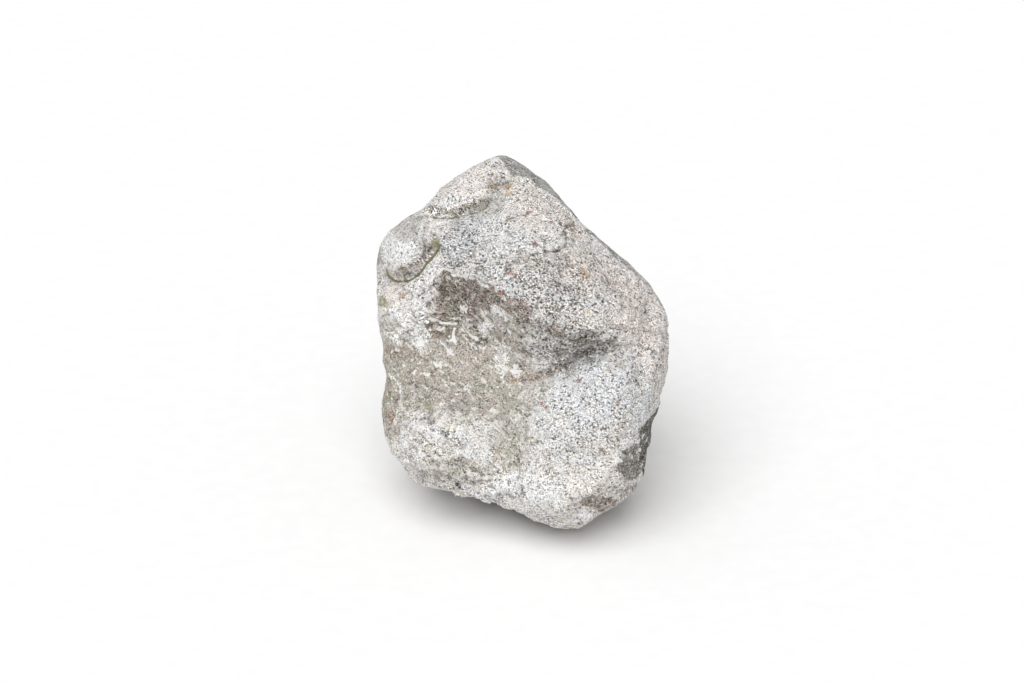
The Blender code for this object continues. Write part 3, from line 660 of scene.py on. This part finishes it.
def surface_masks(points, normals):
    """Every mask over the stone by name. Above 1 it wins more surely over the noise it is laid with."""
    u, v = points.T[:2] * 1000
    far, near = bent_places(points, FAR_BENDS, 31.0), bent_places(points, NEAR_BENDS, 41.0)
    front = ramp(points[:, 2] + RIM_TILT * points[:, 1], -0.030, 0.010)
    facing = ramp(normals[:, 2], 0.10, 0.40)
    seam = stroke(u, v, KNUCKLE_SEAM, 1.8)
    nose_seam = stroke(u, v, NOSE_SEAM, 1.6)
    broken_up = 0.72 + 0.28 * ramp(noise_at(points, 70.0, 61.0), -0.15, 0.25)
    # A painted shadow along the plate's foot, and the plate's crack.
    plate_seam_and_shadow = most(stroke(u, v, PLATE_FOOT, 2.2), stroke(u, v, PLATE_CRACK, 1.8)) * broken_up
    cracks = most(*(stroke(u, v, line, 1.6) for line in CRACKS))
    beyond_arris = ramp(beside(u, v, smooth_line(ARRIS))[0], -2.0, 2.5)
    streaks = most(*(stroke(*near, line, 2.4) for line in WHITE_STREAKS))
    break_edges = most(stroke(u, v, BREAK_EDGE, 3.2, -2.5), stroke(u, v, BREAK_RIDGE, 2.0))
    knuckle_side = ramp(-u, 222, 234) * ramp(v, 118, 134) * (1 - ramp(v, 200, 230))
    middle_break = patch(u, v, MIDDLE_BREAK, 3.0)
    lower_break = patch(*near, LOWER_BREAK, 3.0)
    off_plane = side_plane(points.T, *RIM_PLANES["right break"][:3])
    fraying = noise_at(points, 34.0, 53.0)
    right_break = patch(u, v + 7.0 * fraying, RIGHT_BREAK, 2.0)
    right_break *= ramp(off_plane + 0.010 * fraying, -0.018, -0.012)
    masks = {
        "patina": ellipses(*far, PATINA, 0.8),  # the thin grey-olive skin of sheltered stone
        "stain": most(  # darker dirt, with painted shade on the slopes down to the seams, below the brow's edge and above the crease
            patch(*near, DARK_PATCH, 5.0),
            ellipses(*far, STAINS),
            0.9 * patch(*near, CHIP_FLOOR, 3.0),
            0.60 * stroke(*near, KNUCKLE_SEAM[2:], 14.0, 13.0),
            0.72 * stroke(*near, NOSE_SEAM, 11.0, 11.0),
            0.60 * above(u, v, CREASE[:10], 22.0),
            0.26 * above(u, v, CREASE[7:], 16.0),
            0.66 * stroke(*near, BROW_EDGE[9:], 7.0, -5.0),
            0.5 * patch(*near, WEDGE, 4.0),
        ),
        "fresh": most(right_break, middle_break, 0.44 * lower_break),  # young breaks, darkened with painted shade where they turn from the light
        "paler": most(middle_break, lower_break),  # the paler ones of these
        "bleach": most(  # pale crust
            ellipses(*far, BLEACH),
            stroke(*near, PALE_RIDGE, 4.0, 6.0),
            0.9 * stroke(*near, NOSE_RIDGE, 5.5, 4.0),
            0.8 * stroke(*far, SPECKLED_RIDGE, 9.0),
            0.9 * break_edges,
            0.8 * stroke(*near, CHIP_TOP, 3.0, 4.0),
            0.8 * stroke(*near, LEFT_ARRIS, 3.0, 2.0),
            0.5 * stroke(*near, ARRIS, 5.0, -5.0),
        ),
        "vein": streaks * facing,
        "veined": ellipses(*far, VEINED),  # where scabs of crust are common
        "warm": ellipses(*far, WARM),
        "cool": ellipses(*far, COOL),
        "calm": most(ellipses(*far, CALM), beyond_arris),  # rubbed smooth
        "grey": most(beyond_arris, 0.8 * knuckle_side),  # the grey flanks, with painted shade on the strip beyond the upper right arris
        "flecked": ellipses(*far, FLECKED),  # rich in mica
        "rugged": ellipses(*far, RUGGED),  # the most chipped
        # The slopes beside the two big seams, which stay smooth.
        "groove": most(stroke(u, v, KNUCKLE_SEAM, 16.0, 6.0), stroke(u, v, NOSE_SEAM, 12.0, 5.0)),
        "algae": most(ellipses(*far, ALGAE), seam, 0.7 * nose_seam),
        "seam": most(seam, 0.8 * nose_seam),
        "crack": most(plate_seam_and_shadow, cracks),
    }
    rust, yellow = rust_spots(u, v)
    masks |= {"rust": rust * facing, "yellow": yellow}
    return {name: mask * front for name, mask in masks.items()} | {"front": front}


# ---- the finer relief ----
class Skin:
    """A closed mesh of squares as arrays, with what smoothing and shading it need."""

    def __init__(self, grid):
        self.faces = np.array([[vertex.index for vertex in face.verts] for face in grid.faces])
        self.edges = np.array([[vertex.index for vertex in edge.verts] for edge in grid.edges])
        self.count = len(grid.verts)
        self.valence = np.bincount(self.edges.ravel(), minlength=self.count)[:, None]

    def normals(self, points):
        a, b, c, d = (points[self.faces[:, k]] for k in range(4))
        across = np.cross(c - a, d - b)
        normals = np.zeros_like(points)
        for k in range(4):
            for axis in range(3):
                normals[:, axis] += np.bincount(self.faces[:, k], across[:, axis], self.count)
        return normals / np.linalg.norm(normals, axis=1)[:, None]

    def smoothed(self, values, passes):
        values = values.copy()
        for _ in range(passes):
            total = np.zeros_like(values)
            for here, there in (self.edges.T, self.edges.T[::-1]):
                for axis in range(values.shape[1]):
                    total[:, axis] += np.bincount(here, values[there, axis], self.count)
            values += SMOOTHING * (total / self.valence - values)
        return values


def noise_at(points, cycles, shift=0.0):
    """Smooth noise from -1 to 1 with this many cycles to the metre."""
    offset = Vector((shift, -shift, 2 * shift))
    return np.array([noise.noise(Vector(point) * cycles + offset) for point in points])


def stretched_noise(points, along, across, turn, shift=0.0):
    """The same in streaks along the face, turned by this many degrees from u."""
    turn = math.radians(turn)
    u, v, w = points.T
    x = (u * math.cos(turn) + v * math.sin(turn)) * along
    y = (v * math.cos(turn) - u * math.sin(turn)) * across
    return noise_at(np.stack([x, y, w * across], axis=1), 1.0, shift)


def facets(points, cycles, step, slope, shift):
    """Flat-faced lumps, this many to the metre, each with its own height and slope."""
    offset = Vector((shift, -shift, 2 * shift))
    middle_of_slopes = Vector((0.5, 0.5, 0.5))
    heights = []
    for point in points:
        place = Vector(point) * cycles + offset
        middle = noise.voronoi(place)[1][0]
        turn = noise.cell_vector(middle * 7.0) - middle_of_slopes
        heights.append(step * noise.cell(middle * 5.0) + slope / cycles * turn.dot(place - middle))
    return np.array(heights)


# Chipping, coarse to fine: cycles to the metre, the lumps' step and slope, how much of it is left on
# smooth stone, and the noise's own shift.
CHIPPING = [
    (38.0, 0.0012, 0.7, 0.25, 1.0),
    (80.0, 0.0009, 0.6, 0.25, 3.0),
    (150.0, 0.0006, 0.4, 0.50, 5.0),
]
CRUMB_CYCLES, CRUMB_HEIGHT = 115.0, 0.0010
STAINED_CRUMBS = 0.0008  # that much higher in the dark patches
GRAIN_CYCLES, GRAIN_HEIGHT = 240.0, 0.0003
ROUGH_GRAIN = 0.0006  # that much higher where the stone is rough
PIT_CYCLES, PIT_DEPTH = 90.0, 0.0012
CRUST_CYCLES, CRUST_HEIGHT = 75.0, 0.0006
STRIAE = ((20.0, 130.0, -42.0), 0.0011)  # cycles along and across, turn in degrees; height
RUBBING = ((16.0, 120.0, 58.0, 2.0), 0.0006)  # the same, with the noise's shift
CRACK_DEPTH = 0.0012
FRAYING = 0.004  # how far the edges of chips and pits wander


def fine_relief(points, masks):
    """How far the stone's skin stands out of its form: chipping, pitting, crumbs and streaks."""
    calm, patina, stain = masks["calm"], masks["patina"], masks["stain"]
    frayed = points.copy()
    for axis in range(3):
        frayed[:, axis] += FRAYING * noise_at(points, 60.0, 50.0 + 4.0 * axis)
    rough = (1.0 - 0.75 * calm) * (1.0 - 0.8 * masks["groove"])
    # Beside the rim the skin stays near the form, which keeps the outline.
    inner = 0.3 + 0.7 * ramp(np.abs(points[:, 2] + RIM_TILT * points[:, 1]), 0.0, 0.06)
    height = (GRAIN_HEIGHT + ROUGH_GRAIN * rough) * noise_at(points, GRAIN_CYCLES, 7.0)
    rough *= inner
    for cycles, step, slope, smooth_share, shift in CHIPPING:
        share = smooth_share + (1.0 - smooth_share) * masks["rugged"]
        height += rough * share * facets(frayed, cycles, step, slope, shift)
    crumbs = noise_at(points, CRUMB_CYCLES, 5.0)
    height += rough * (CRUMB_HEIGHT + STAINED_CRUMBS * stain) * crumbs
    pits = ramp(noise_at(frayed, PIT_CYCLES, 11.0), 0.20, 0.50)
    height -= PIT_DEPTH * pits * rough * (1.0 - 0.5 * patina) * (1.0 - 0.8 * stain)
    streaks = np.maximum(patina, 0.6 * masks["grey"])
    height += STRIAE[1] * stretched_noise(points, *STRIAE[0]) * streaks
    height += RUBBING[1] * stretched_noise(points, *RUBBING[0]) * calm
    crust = noise_at(points, CRUST_CYCLES, 17.0) + 1.1 * masks["bleach"]
    height += CRUST_HEIGHT * ramp(crust, 0.5, 0.9)
    height += steps_along(*points.T[:2], RIDGE_STEPS) * masks["front"]
    return height - CRACK_DEPTH * most(masks["seam"], masks["crack"])


def hollows(skin, points, passes):
    """Positive in hollows and negative on edges, as a share of the usual."""
    smooth = skin.smoothed(points, passes)
    depth = ((smooth - points) * skin.normals(points)).sum(axis=1)
    return depth / np.percentile(np.abs(depth), 90)


def boulder_mesh():
    """The stone's skin, with each mask as an attribute of its points."""
    grid, directions = wrapped_grid()
    for k, vertex in enumerate(grid.verts):
        vertex.index = k
    skin = Skin(grid)
    points = surface_points(directions)
    masks = surface_masks(points, skin.normals(points))
    height = fine_relief(points, masks)
    points = points + skin.normals(points) * height[:, None]
    # How hollow the skin is, finely and broadly: the granite paints shade into the fine hollows and
    # light onto the edges, and lays more skin in the broad dips.
    masks["hollow"] = np.clip(0.5 + 0.25 * hollows(skin, points, 3), 0.0, 1.0)
    masks["dip"] = np.clip(0.5 + 0.25 * hollows(skin, points, 24), 0.0, 1.0)
    for vertex, place in zip(grid.verts, to_world(points)):
        vertex.co = place
    bmesh.ops.recalc_face_normals(grid, faces=grid.faces[:])
    mesh = bpy.data.meshes.new("granite_boulder")
    grid.to_mesh(mesh)
    grid.free()
    mesh.shade_smooth()
    for name, mask in masks.items():
        attribute = mesh.attributes.new(name, "FLOAT", "POINT")
        attribute.data.foreach_set("value", mask.astype(np.float32))
    return mesh


# ---- the granite ----
# Red, green and blue as a screen's values from 0 to 255.
PALETTE = {
    "grey stone": (239, 237, 238), "buff stone": (241, 235, 229), "bluish stone": (234, 238, 245),
    "pinkish stone": (249, 237, 231), "dull stone": (212, 209, 204),
    "bluish quartz": (172, 174, 179), "brownish quartz": (162, 160, 156),
    "dark rubbed": (164, 162, 156), "pale rubbed": (216, 215, 212),
    # The flank greys also paint shade on the strip beyond the upper right arris.
    "dark flank and shade": (138, 137, 135), "pale flank and shade": (182, 180, 177),
    "brown skin": (184, 175, 166), "olive skin": (172, 168, 155), "dull skin": (168, 162, 155),
    # The dirt colours also paint shade on the undersides below the brow and above the crease.
    "brown dirt and shade": (153, 138, 128), "olive dirt and shade": (145, 137, 123),
    # The dark and grey breaks also paint shade on the break facets turned from the light.
    "dark break and shade": (82, 79, 73), "grey break and shade": (117, 113, 105), "pale break": (168, 163, 156),
    "grey crust": (218, 217, 216), "white crust": (250, 250, 250), "warm crust": (238, 224, 216),
    "dark fleck": (62, 62, 66), "large mica": (70, 71, 76), "small mica": (66, 66, 68),
    "feldspar": (250, 249, 246), "scratch": (240, 236, 228), "groove": (98, 93, 86),
    "vein": (244, 243, 240), "dark algae": (120, 117, 78), "pale algae": (172, 167, 128),
    # The crack colour also paints the shadow along the plate's foot.
    "damp seam": (114, 109, 72), "crack": (112, 99, 90), "red rust": (152, 86, 50),
    # The last two are painted shade for the hollows and painted light for the edges.
    "yellow rust": (186, 146, 76), "painted hollow shade": (88, 83, 76), "painted edge light": (246, 243, 239),
    "paper": (246, 246, 246), "pale paper": (248, 248, 248),
}
BLUISH_TINT = (0.94, 1.0, 1.05, 1.0)
REDDISH_TINT = (1.06, 1.0, 0.93, 1.0)


def colour(name):
    """The palette's colour in linear light."""
    shares = (value / 255 for value in PALETTE[name])
    linear = (s / 12.92 if s <= 0.04045 else ((s + 0.055) / 1.055) ** 2.4 for s in shares)
    return (*linear, 1.0)


class Value:
    """What a node gives at each point of a surface. Arithmetic with it makes further nodes."""

    def __init__(self, graph, socket):
        self.graph, self.socket = graph, socket

    def __add__(self, other):
        return self.graph.math("ADD", self, other)

    def __sub__(self, other):
        return self.graph.math("SUBTRACT", self, other)

    def __rsub__(self, other):
        return self.graph.math("SUBTRACT", other, self)

    def __mul__(self, other):
        return self.graph.math("MULTIPLY", self, other)

    __radd__, __rmul__ = __add__, __mul__


class Graph:
    """A material's nodes, made and linked by short calls that give back what the node gives."""

    def __init__(self, name):
        self.material = bpy.data.materials.new(name)
        self.material.use_nodes = True
        self.tree = self.material.node_tree
        self.shader = self.tree.nodes["Principled BSDF"]
        self.place = self.node("ShaderNodeTexCoord", "Object")

    def node(self, kind, output, settings=None, **inputs):
        node = self.tree.nodes.new(kind)
        for name, value in (settings or {}).items():
            setattr(node, name, value)
        for name, value in inputs.items():
            self.feed(node.inputs[name.replace("_", " ")], value)
        return Value(self, node.outputs[output])

    def feed(self, socket, value):
        """The value comes from a node, or it is a number or the name of a colour."""
        if isinstance(value, Value):
            self.tree.links.new(value.socket, socket)
        else:
            socket.default_value = colour(value) if isinstance(value, str) else value

    def feed_all(self, node, values):
        for socket, value in zip(node.inputs, values):
            self.feed(socket, value)
        return Value(self, node.outputs[0])

    def shade(self, **inputs):
        for name, value in inputs.items():
            self.feed(self.shader.inputs[name.replace("_", " ")], value)

    def math(self, operation, *values):
        node = self.tree.nodes.new("ShaderNodeMath")
        node.operation = operation
        return self.feed_all(node, values)

    def ramp(self, value, low, high, start=0.0, end=1.0):
        """From start at low to end at high, smoothly."""
        ends = {"From_Min": low, "From_Max": high, "To_Min": start, "To_Max": end}
        smooth = {"interpolation_type": "SMOOTHSTEP"}
        return self.node("ShaderNodeMapRange", "Result", smooth, Value=value, **ends)

    def within(self, value, share, soft):
        """1 where a grain's random value is below this share, softly."""
        return self.ramp(value - share, -soft, soft, 1.0, 0.0)

    def mask(self, name):
        return self.node("ShaderNodeAttribute", "Fac", {"attribute_name": name})

    def masks(self, names):
        return [self.mask(name) for name in names.split()]

    def noise(self, scale, detail, roughness=0.5, place=None):
        inputs = {"Scale": scale, "Detail": detail, "Roughness": roughness}
        return self.node("ShaderNodeTexNoise", "Fac", Vector=place or self.place, **inputs)

    def streaked(self, turn, long, thin):
        """Places stretched so that a texture runs in streaks along the face, turned from u."""
        turn = math.radians(turn)
        side = Vector((1.0, 0.0, 0.0))
        along = side * math.cos(turn) + UP * math.sin(turn)
        across = UP * math.cos(turn) - side * math.sin(turn)
        inputs = {
            "Rotation": Matrix((along, across, OUT)).transposed().to_euler(),
            "Scale": (long, thin, thin),
        }
        texture = {"vector_type": "TEXTURE"}
        return self.node("ShaderNodeMapping", "Vector", texture, Vector=self.place, **inputs)

    def bent(self, scale, reach, turn, long):
        """Streaked places moved about by a noise, so that a mosaic on them has uneven grains."""
        wobble = self.node("ShaderNodeTexNoise", "Color", Vector=self.place, Scale=scale, Detail=2.0)
        node = self.tree.nodes.new("ShaderNodeVectorMath")
        node.operation = "MULTIPLY_ADD"
        return self.feed_all(node, (wobble, (reach,) * 3, self.streaked(turn, long, 1.0)))

    def grains(self, scale, place):
        """Three random shares for each grain of a mosaic, and how far a point is from its middle."""
        tint = self.node("ShaderNodeTexVoronoi", "Color", Vector=place, Scale=scale)
        split = self.node("ShaderNodeSeparateColor", "Red", Color=tint)
        sockets = (*split.socket.node.outputs, tint.socket.node.outputs["Distance"])
        return [Value(self, socket) for socket in sockets]

    def mix(self, share, under, over, blend="MIX"):
        node = self.tree.nodes.new("ShaderNodeMix")
        node.data_type, node.blend_type = "RGBA", blend
        for index, value in ((0, share), (6, under), (7, over)):
            self.feed(node.inputs[index], value)
        return Value(self, node.outputs[2])

    def cover(self, under, over, value, low, high, most_of_it=1.0):
        """None of the over colour where the value is low, and this most of it where it is high."""
        return self.mix(self.ramp(value, low, high, 0.0, most_of_it), under, over)


def granite():
    """Speckled grey granite, laid up from the sound stone to the painted shade in its
    hollows and the painted light on its edges.
    """
    g = Graph("granite")
    patina, stain, fresh, bleach, warm, cool = g.masks("patina stain fresh bleach warm cool")
    calm, grey, flecked, hollow, dip = g.masks("calm grey flecked hollow dip")

    # Noises from broad to fine and streaked, then mosaics of dashes, scabs, flecks and grains.
    broad = g.noise(12.0, 4.0, 0.6)
    drift = g.noise(31.0, 4.0, 0.6)
    weather = g.noise(70.0, 5.0, 0.66)
    grit = g.noise(210.0, 4.0, 0.72)
    fine = g.noise(520.0, 1.0, 0.6)
    striae = g.noise(1.0, 2.0, 0.55, g.streaked(-40.0, 0.034, 0.0044))
    rub = g.noise(1.0, 3.0, 0.65, g.streaked(58.0, 0.026, 0.0036))
    _, dash_tint, dash_shade, _ = g.grains(330.0, g.bent(300.0, 0.0030, -40.0, 5.0))
    _, scab_tint, _, _ = g.grains(115.0, g.bent(160.0, 0.011, -40.0, 1.7))
    fleck_tint, fleck_shade, _, fleck_far = g.grains(260.0, g.bent(600.0, 0.0022, -20.0, 1.4))
    uneven_places = g.bent(400.0, 0.0022, -20.0, 1.5)
    large, large_tint, large_shade, large_far = g.grains(420.0, uneven_places)
    small, small_tint, small_shade, small_far = g.grains(760.0, uneven_places)

    # Sound stone, whose colour drifts between pinkish and bluish, with quartz in it.
    stone = g.cover("grey stone", "buff stone", drift, 0.40, 0.60)
    stone = g.mix(0.8 * cool, stone, "bluish stone")
    stone = g.mix(0.8 * warm, stone, "pinkish stone")
    stone = g.cover(stone, "dull stone", broad, 0.46, 0.66, 0.4)
    quartz = g.mix(large_tint, "bluish quartz", "brownish quartz")
    quartz_share = 0.16 + 0.10 * flecked + 0.5 * (drift - 0.5)
    stone = g.mix(0.55 * g.within(large, quartz_share, 0.06), stone, quartz)

    # What covers it softly: rubbed faces, the grey flanks with painted shade beyond the upper right
    # arris, the grey-olive skin, dirt with painted shade on the undersides, young breaks with painted
    # shade where they turn from the light, and a bleached crust in ragged patches.
    rubbed = g.cover("dark rubbed", "pale rubbed", rub, 0.40, 0.60)
    flank = g.cover("dark flank and shade", "pale flank and shade", striae, 0.38, 0.62)
    skin = g.cover("brown skin", "olive skin", drift, 0.42, 0.58)
    skin = g.cover(skin, "dull skin", broad, 0.42, 0.58, 0.5)
    dirt_and_shade = g.cover("brown dirt and shade", "olive dirt and shade", drift, 0.42, 0.58)
    break_and_shade = g.cover("dark break and shade", "grey break and shade", weather, 0.38, 0.62)
    break_and_shade = g.mix(0.6 * g.mask("paler"), break_and_shade, "pale break")
    crust = g.cover("grey crust", "white crust", grit, 0.42, 0.58)
    crust = g.mix(0.6 * warm, crust, "warm crust")
    ragged = 1.3 * (weather - 0.5) + 1.3 * (grit - 0.5) + 0.5 * (fine - 0.5)
    back_skin = (1.0 - g.mask("front")) * g.ramp(g.noise(7.0, 4.0, 0.6), 0.38, 0.60) * 0.9
    skin_share = patina + back_skin + ragged + 0.3 * (dip - 0.5)
    crust_share = 0.85 * bleach + 1.1 * ragged - 0.5 * (hollow - 0.5) - 0.25 * fresh
    for over, share, low, high, most_of_it in (
        (rubbed, calm + ragged, 0.30, 0.70, 0.75),
        (flank, grey + 0.5 * ragged, 0.35, 0.65, 0.85),
        (skin, skin_share, 0.28, 0.66, 0.92),
        (dirt_and_shade, stain + ragged, 0.36, 0.62, 0.90),
        (break_and_shade, fresh + 0.2 * ragged, 0.42, 0.58, 0.97),
        (crust, crust_share, 0.48, 0.59, 0.85),
    ):
        stone = g.cover(stone, over, share, low, high, most_of_it)

    # Every grain is a little lighter or darker than the next, and bluer or redder.
    cluster = g.ramp(weather, 0.38, 0.62, 0.55, 1.45)
    contrast = 1.0 - 0.22 * flecked - 0.15 * calm - 0.25 * patina
    contrast = contrast + 0.45 * stain + 0.5 * fresh + 0.10 * bleach
    uneven = 0.90 * (small - 0.5) + 0.20 * (large_shade - 0.5) + 0.9 * (grit - 0.5)
    uneven = (uneven + 4.0 * (fine - 0.5)) * cluster * contrast + 0.9 * (weather - 0.5)
    held_back = 0.42 + 0.50 * g.math("MAXIMUM", patina, stain)
    paler = g.math("MAXIMUM", uneven, 0.0) * held_back
    darker = g.math("MINIMUM", uneven, 0.0)
    stone = g.mix(1.0, stone, 1.0 + paler + darker, "MULTIPLY")
    tint = g.mix(g.ramp(small_tint, 0.2, 0.8), BLUISH_TINT, REDDISH_TINT)
    stone = g.mix(1.0, stone, tint, "MULTIPLY")

    # Dark flecks and mica and white feldspar among the grains, then pale scratches and dark grooves
    # along the skin, and the veins and scabs of the crust.
    fleck_share = 0.08 + 0.30 * flecked + 0.4 * (drift - 0.5) + 0.9 * (weather - 0.5) - 0.05 * patina
    fleck_size = g.ramp(fleck_shade, 0.0, 1.0, 0.20, 0.54)
    fleck = g.within(fleck_tint, fleck_share, 0.02) * g.within(fleck_far, fleck_size, 0.08)
    mica_share = 0.030 + 0.09 * flecked + 0.25 * (drift - 0.5) + 0.45 * (weather - 0.5)
    mica_share = mica_share - 0.02 * bleach - 0.04 * patina
    white_share = 0.06 + 0.16 * bleach - 0.02 * stain
    worn = patina * (1.0 - 0.8 * stain) * g.ramp(drift, 0.40, 0.60, 0.4, 1.6)
    groove_share = 0.09 * (worn + 0.4 * flecked + 0.2)
    line = g.ramp(g.mask("vein") + 0.75 * ragged, 0.42, 0.60)
    scab = g.within(scab_tint, 0.15 * g.mask("veined"), 0.01) * g.ramp(grit, 0.40, 0.47)
    for over, share, most_of_it in (
        ("dark fleck", fleck, 0.88),
        ("large mica", g.within(large_tint, mica_share, 0.02), 0.90),
        ("small mica", g.within(small_tint, 1.6 * mica_share, 0.03), 0.90),
        ("feldspar", g.within(small_shade, white_share, 0.04), 0.70),
        ("scratch", g.within(dash_tint, 0.10 * worn, 0.01), 0.80),
        ("groove", g.within(dash_shade, groove_share, 0.01), 0.55),
        ("vein", g.math("MAXIMUM", line, scab), 0.92),
    ):
        stone = g.mix(share * most_of_it, stone, over)

    # Algae in the damp seams, cracks with a painted shadow along the plate's foot, the rust of
    # iron-rich grains, painted shade in the hollows and painted light on the edges.
    algae = g.cover("dark algae", "pale algae", grit, 0.40, 0.60)
    rust = g.mix(g.mask("yellow"), "red rust", "yellow rust")
    for over, share, low, high, most_of_it in (
        (algae, g.mask("algae") + ragged, 0.35, 0.85, 0.75),
        ("damp seam", g.mask("seam") + ragged, 0.35, 0.75, 0.72),
        ("crack", g.mask("crack") + ragged, 0.40, 0.75, 0.75),
        (rust, g.mask("rust") + 0.75 * small + 0.45 * large, 1.30, 1.44, 0.92),
        ("painted hollow shade", hollow, 0.56, 0.95, 0.50),
        ("painted edge light", hollow, 0.44, 0.08, 0.45),
    ):
        stone = g.cover(stone, over, share, low, high, most_of_it)

    height = -0.6 * large_far - 0.3 * small_far + 1.8 * grit
    height = height + 0.8 * fine + 1.4 * weather + striae * patina * 0.8
    bump = g.node("ShaderNodeBump", "Normal", Strength=0.9, Distance=0.0014, Height=height)
    gloss = g.ramp(large_tint, 0.0, mica_share, 0.62, 0.90)
    g.shade(Base_Color=stone, Roughness=gloss, Specular_IOR_Level=0.30, Normal=bump)
    return g.material


# ---- the studio ----
def placed(name, data):
    thing = bpy.data.objects.new(name, data)
    bpy.context.scene.collection.objects.link(thing)
    return thing


def aim_at(thing, target):
    thing.rotation_mode = "QUATERNION"
    thing.rotation_quaternion = (target - thing.location).to_track_quat("-Z", "Y")


def set_studio():
    """A pale floor, a white sky and one broad soft light from above, in front and to the left."""
    scene = bpy.context.scene
    floor_mesh = bpy.data.meshes.new("studio_floor")
    reach = FLOOR_REACH
    corners = [(-reach, -reach, 0), (reach, -reach, 0), (reach, reach, 0), (-reach, reach, 0)]
    floor_mesh.from_pydata(corners, [], [(0, 1, 2, 3)])
    floor = placed("studio_floor", floor_mesh)
    paper = Graph("studio_paper")
    white = paper.cover("paper", "pale paper", paper.noise(30.0, 3.0), 0.3, 0.7)
    paper.shade(Base_Color=white, Roughness=0.95)
    floor_mesh.materials.append(paper.material)

    world = bpy.data.worlds.new("studio_sky")
    world.use_nodes = True
    sky = world.node_tree.nodes["Background"]
    sky.inputs["Color"].default_value = (1.0, 1.0, 1.0, 1.0)
    sky.inputs["Strength"].default_value = SKY
    scene.world = world

    lamp = bpy.data.lights.new("softbox", "SUN")
    lamp.angle, lamp.energy = SOFTBOX_SPREAD, SOFTBOX_STRENGTH
    softbox = placed("softbox", lamp)
    softbox.location = SOFTBOX_FROM
    aim_at(softbox, Vector())
    scene.view_settings.view_transform = "Standard"


def set_camera():
    """Looks straight at the leaning face, from far enough to flatten it."""
    camera = placed("camera", bpy.data.cameras.new("camera"))
    camera.data.lens, camera.data.sensor_width = LENS, SENSOR
    middle = Vector((SIDE_STEP, 0.0, CENTRE_HEIGHT))
    camera.location = middle + OUT * (FRAME_WIDTH * LENS / SENSOR)
    aim_at(camera, middle)
    bpy.context.scene.camera = camera


boulder = placed("granite_boulder", boulder_mesh())
boulder.data.materials.append(granite())
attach(boulder, "root")
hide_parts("boulder")
set_studio()
set_camera()
bpy.context.view_layer.update()
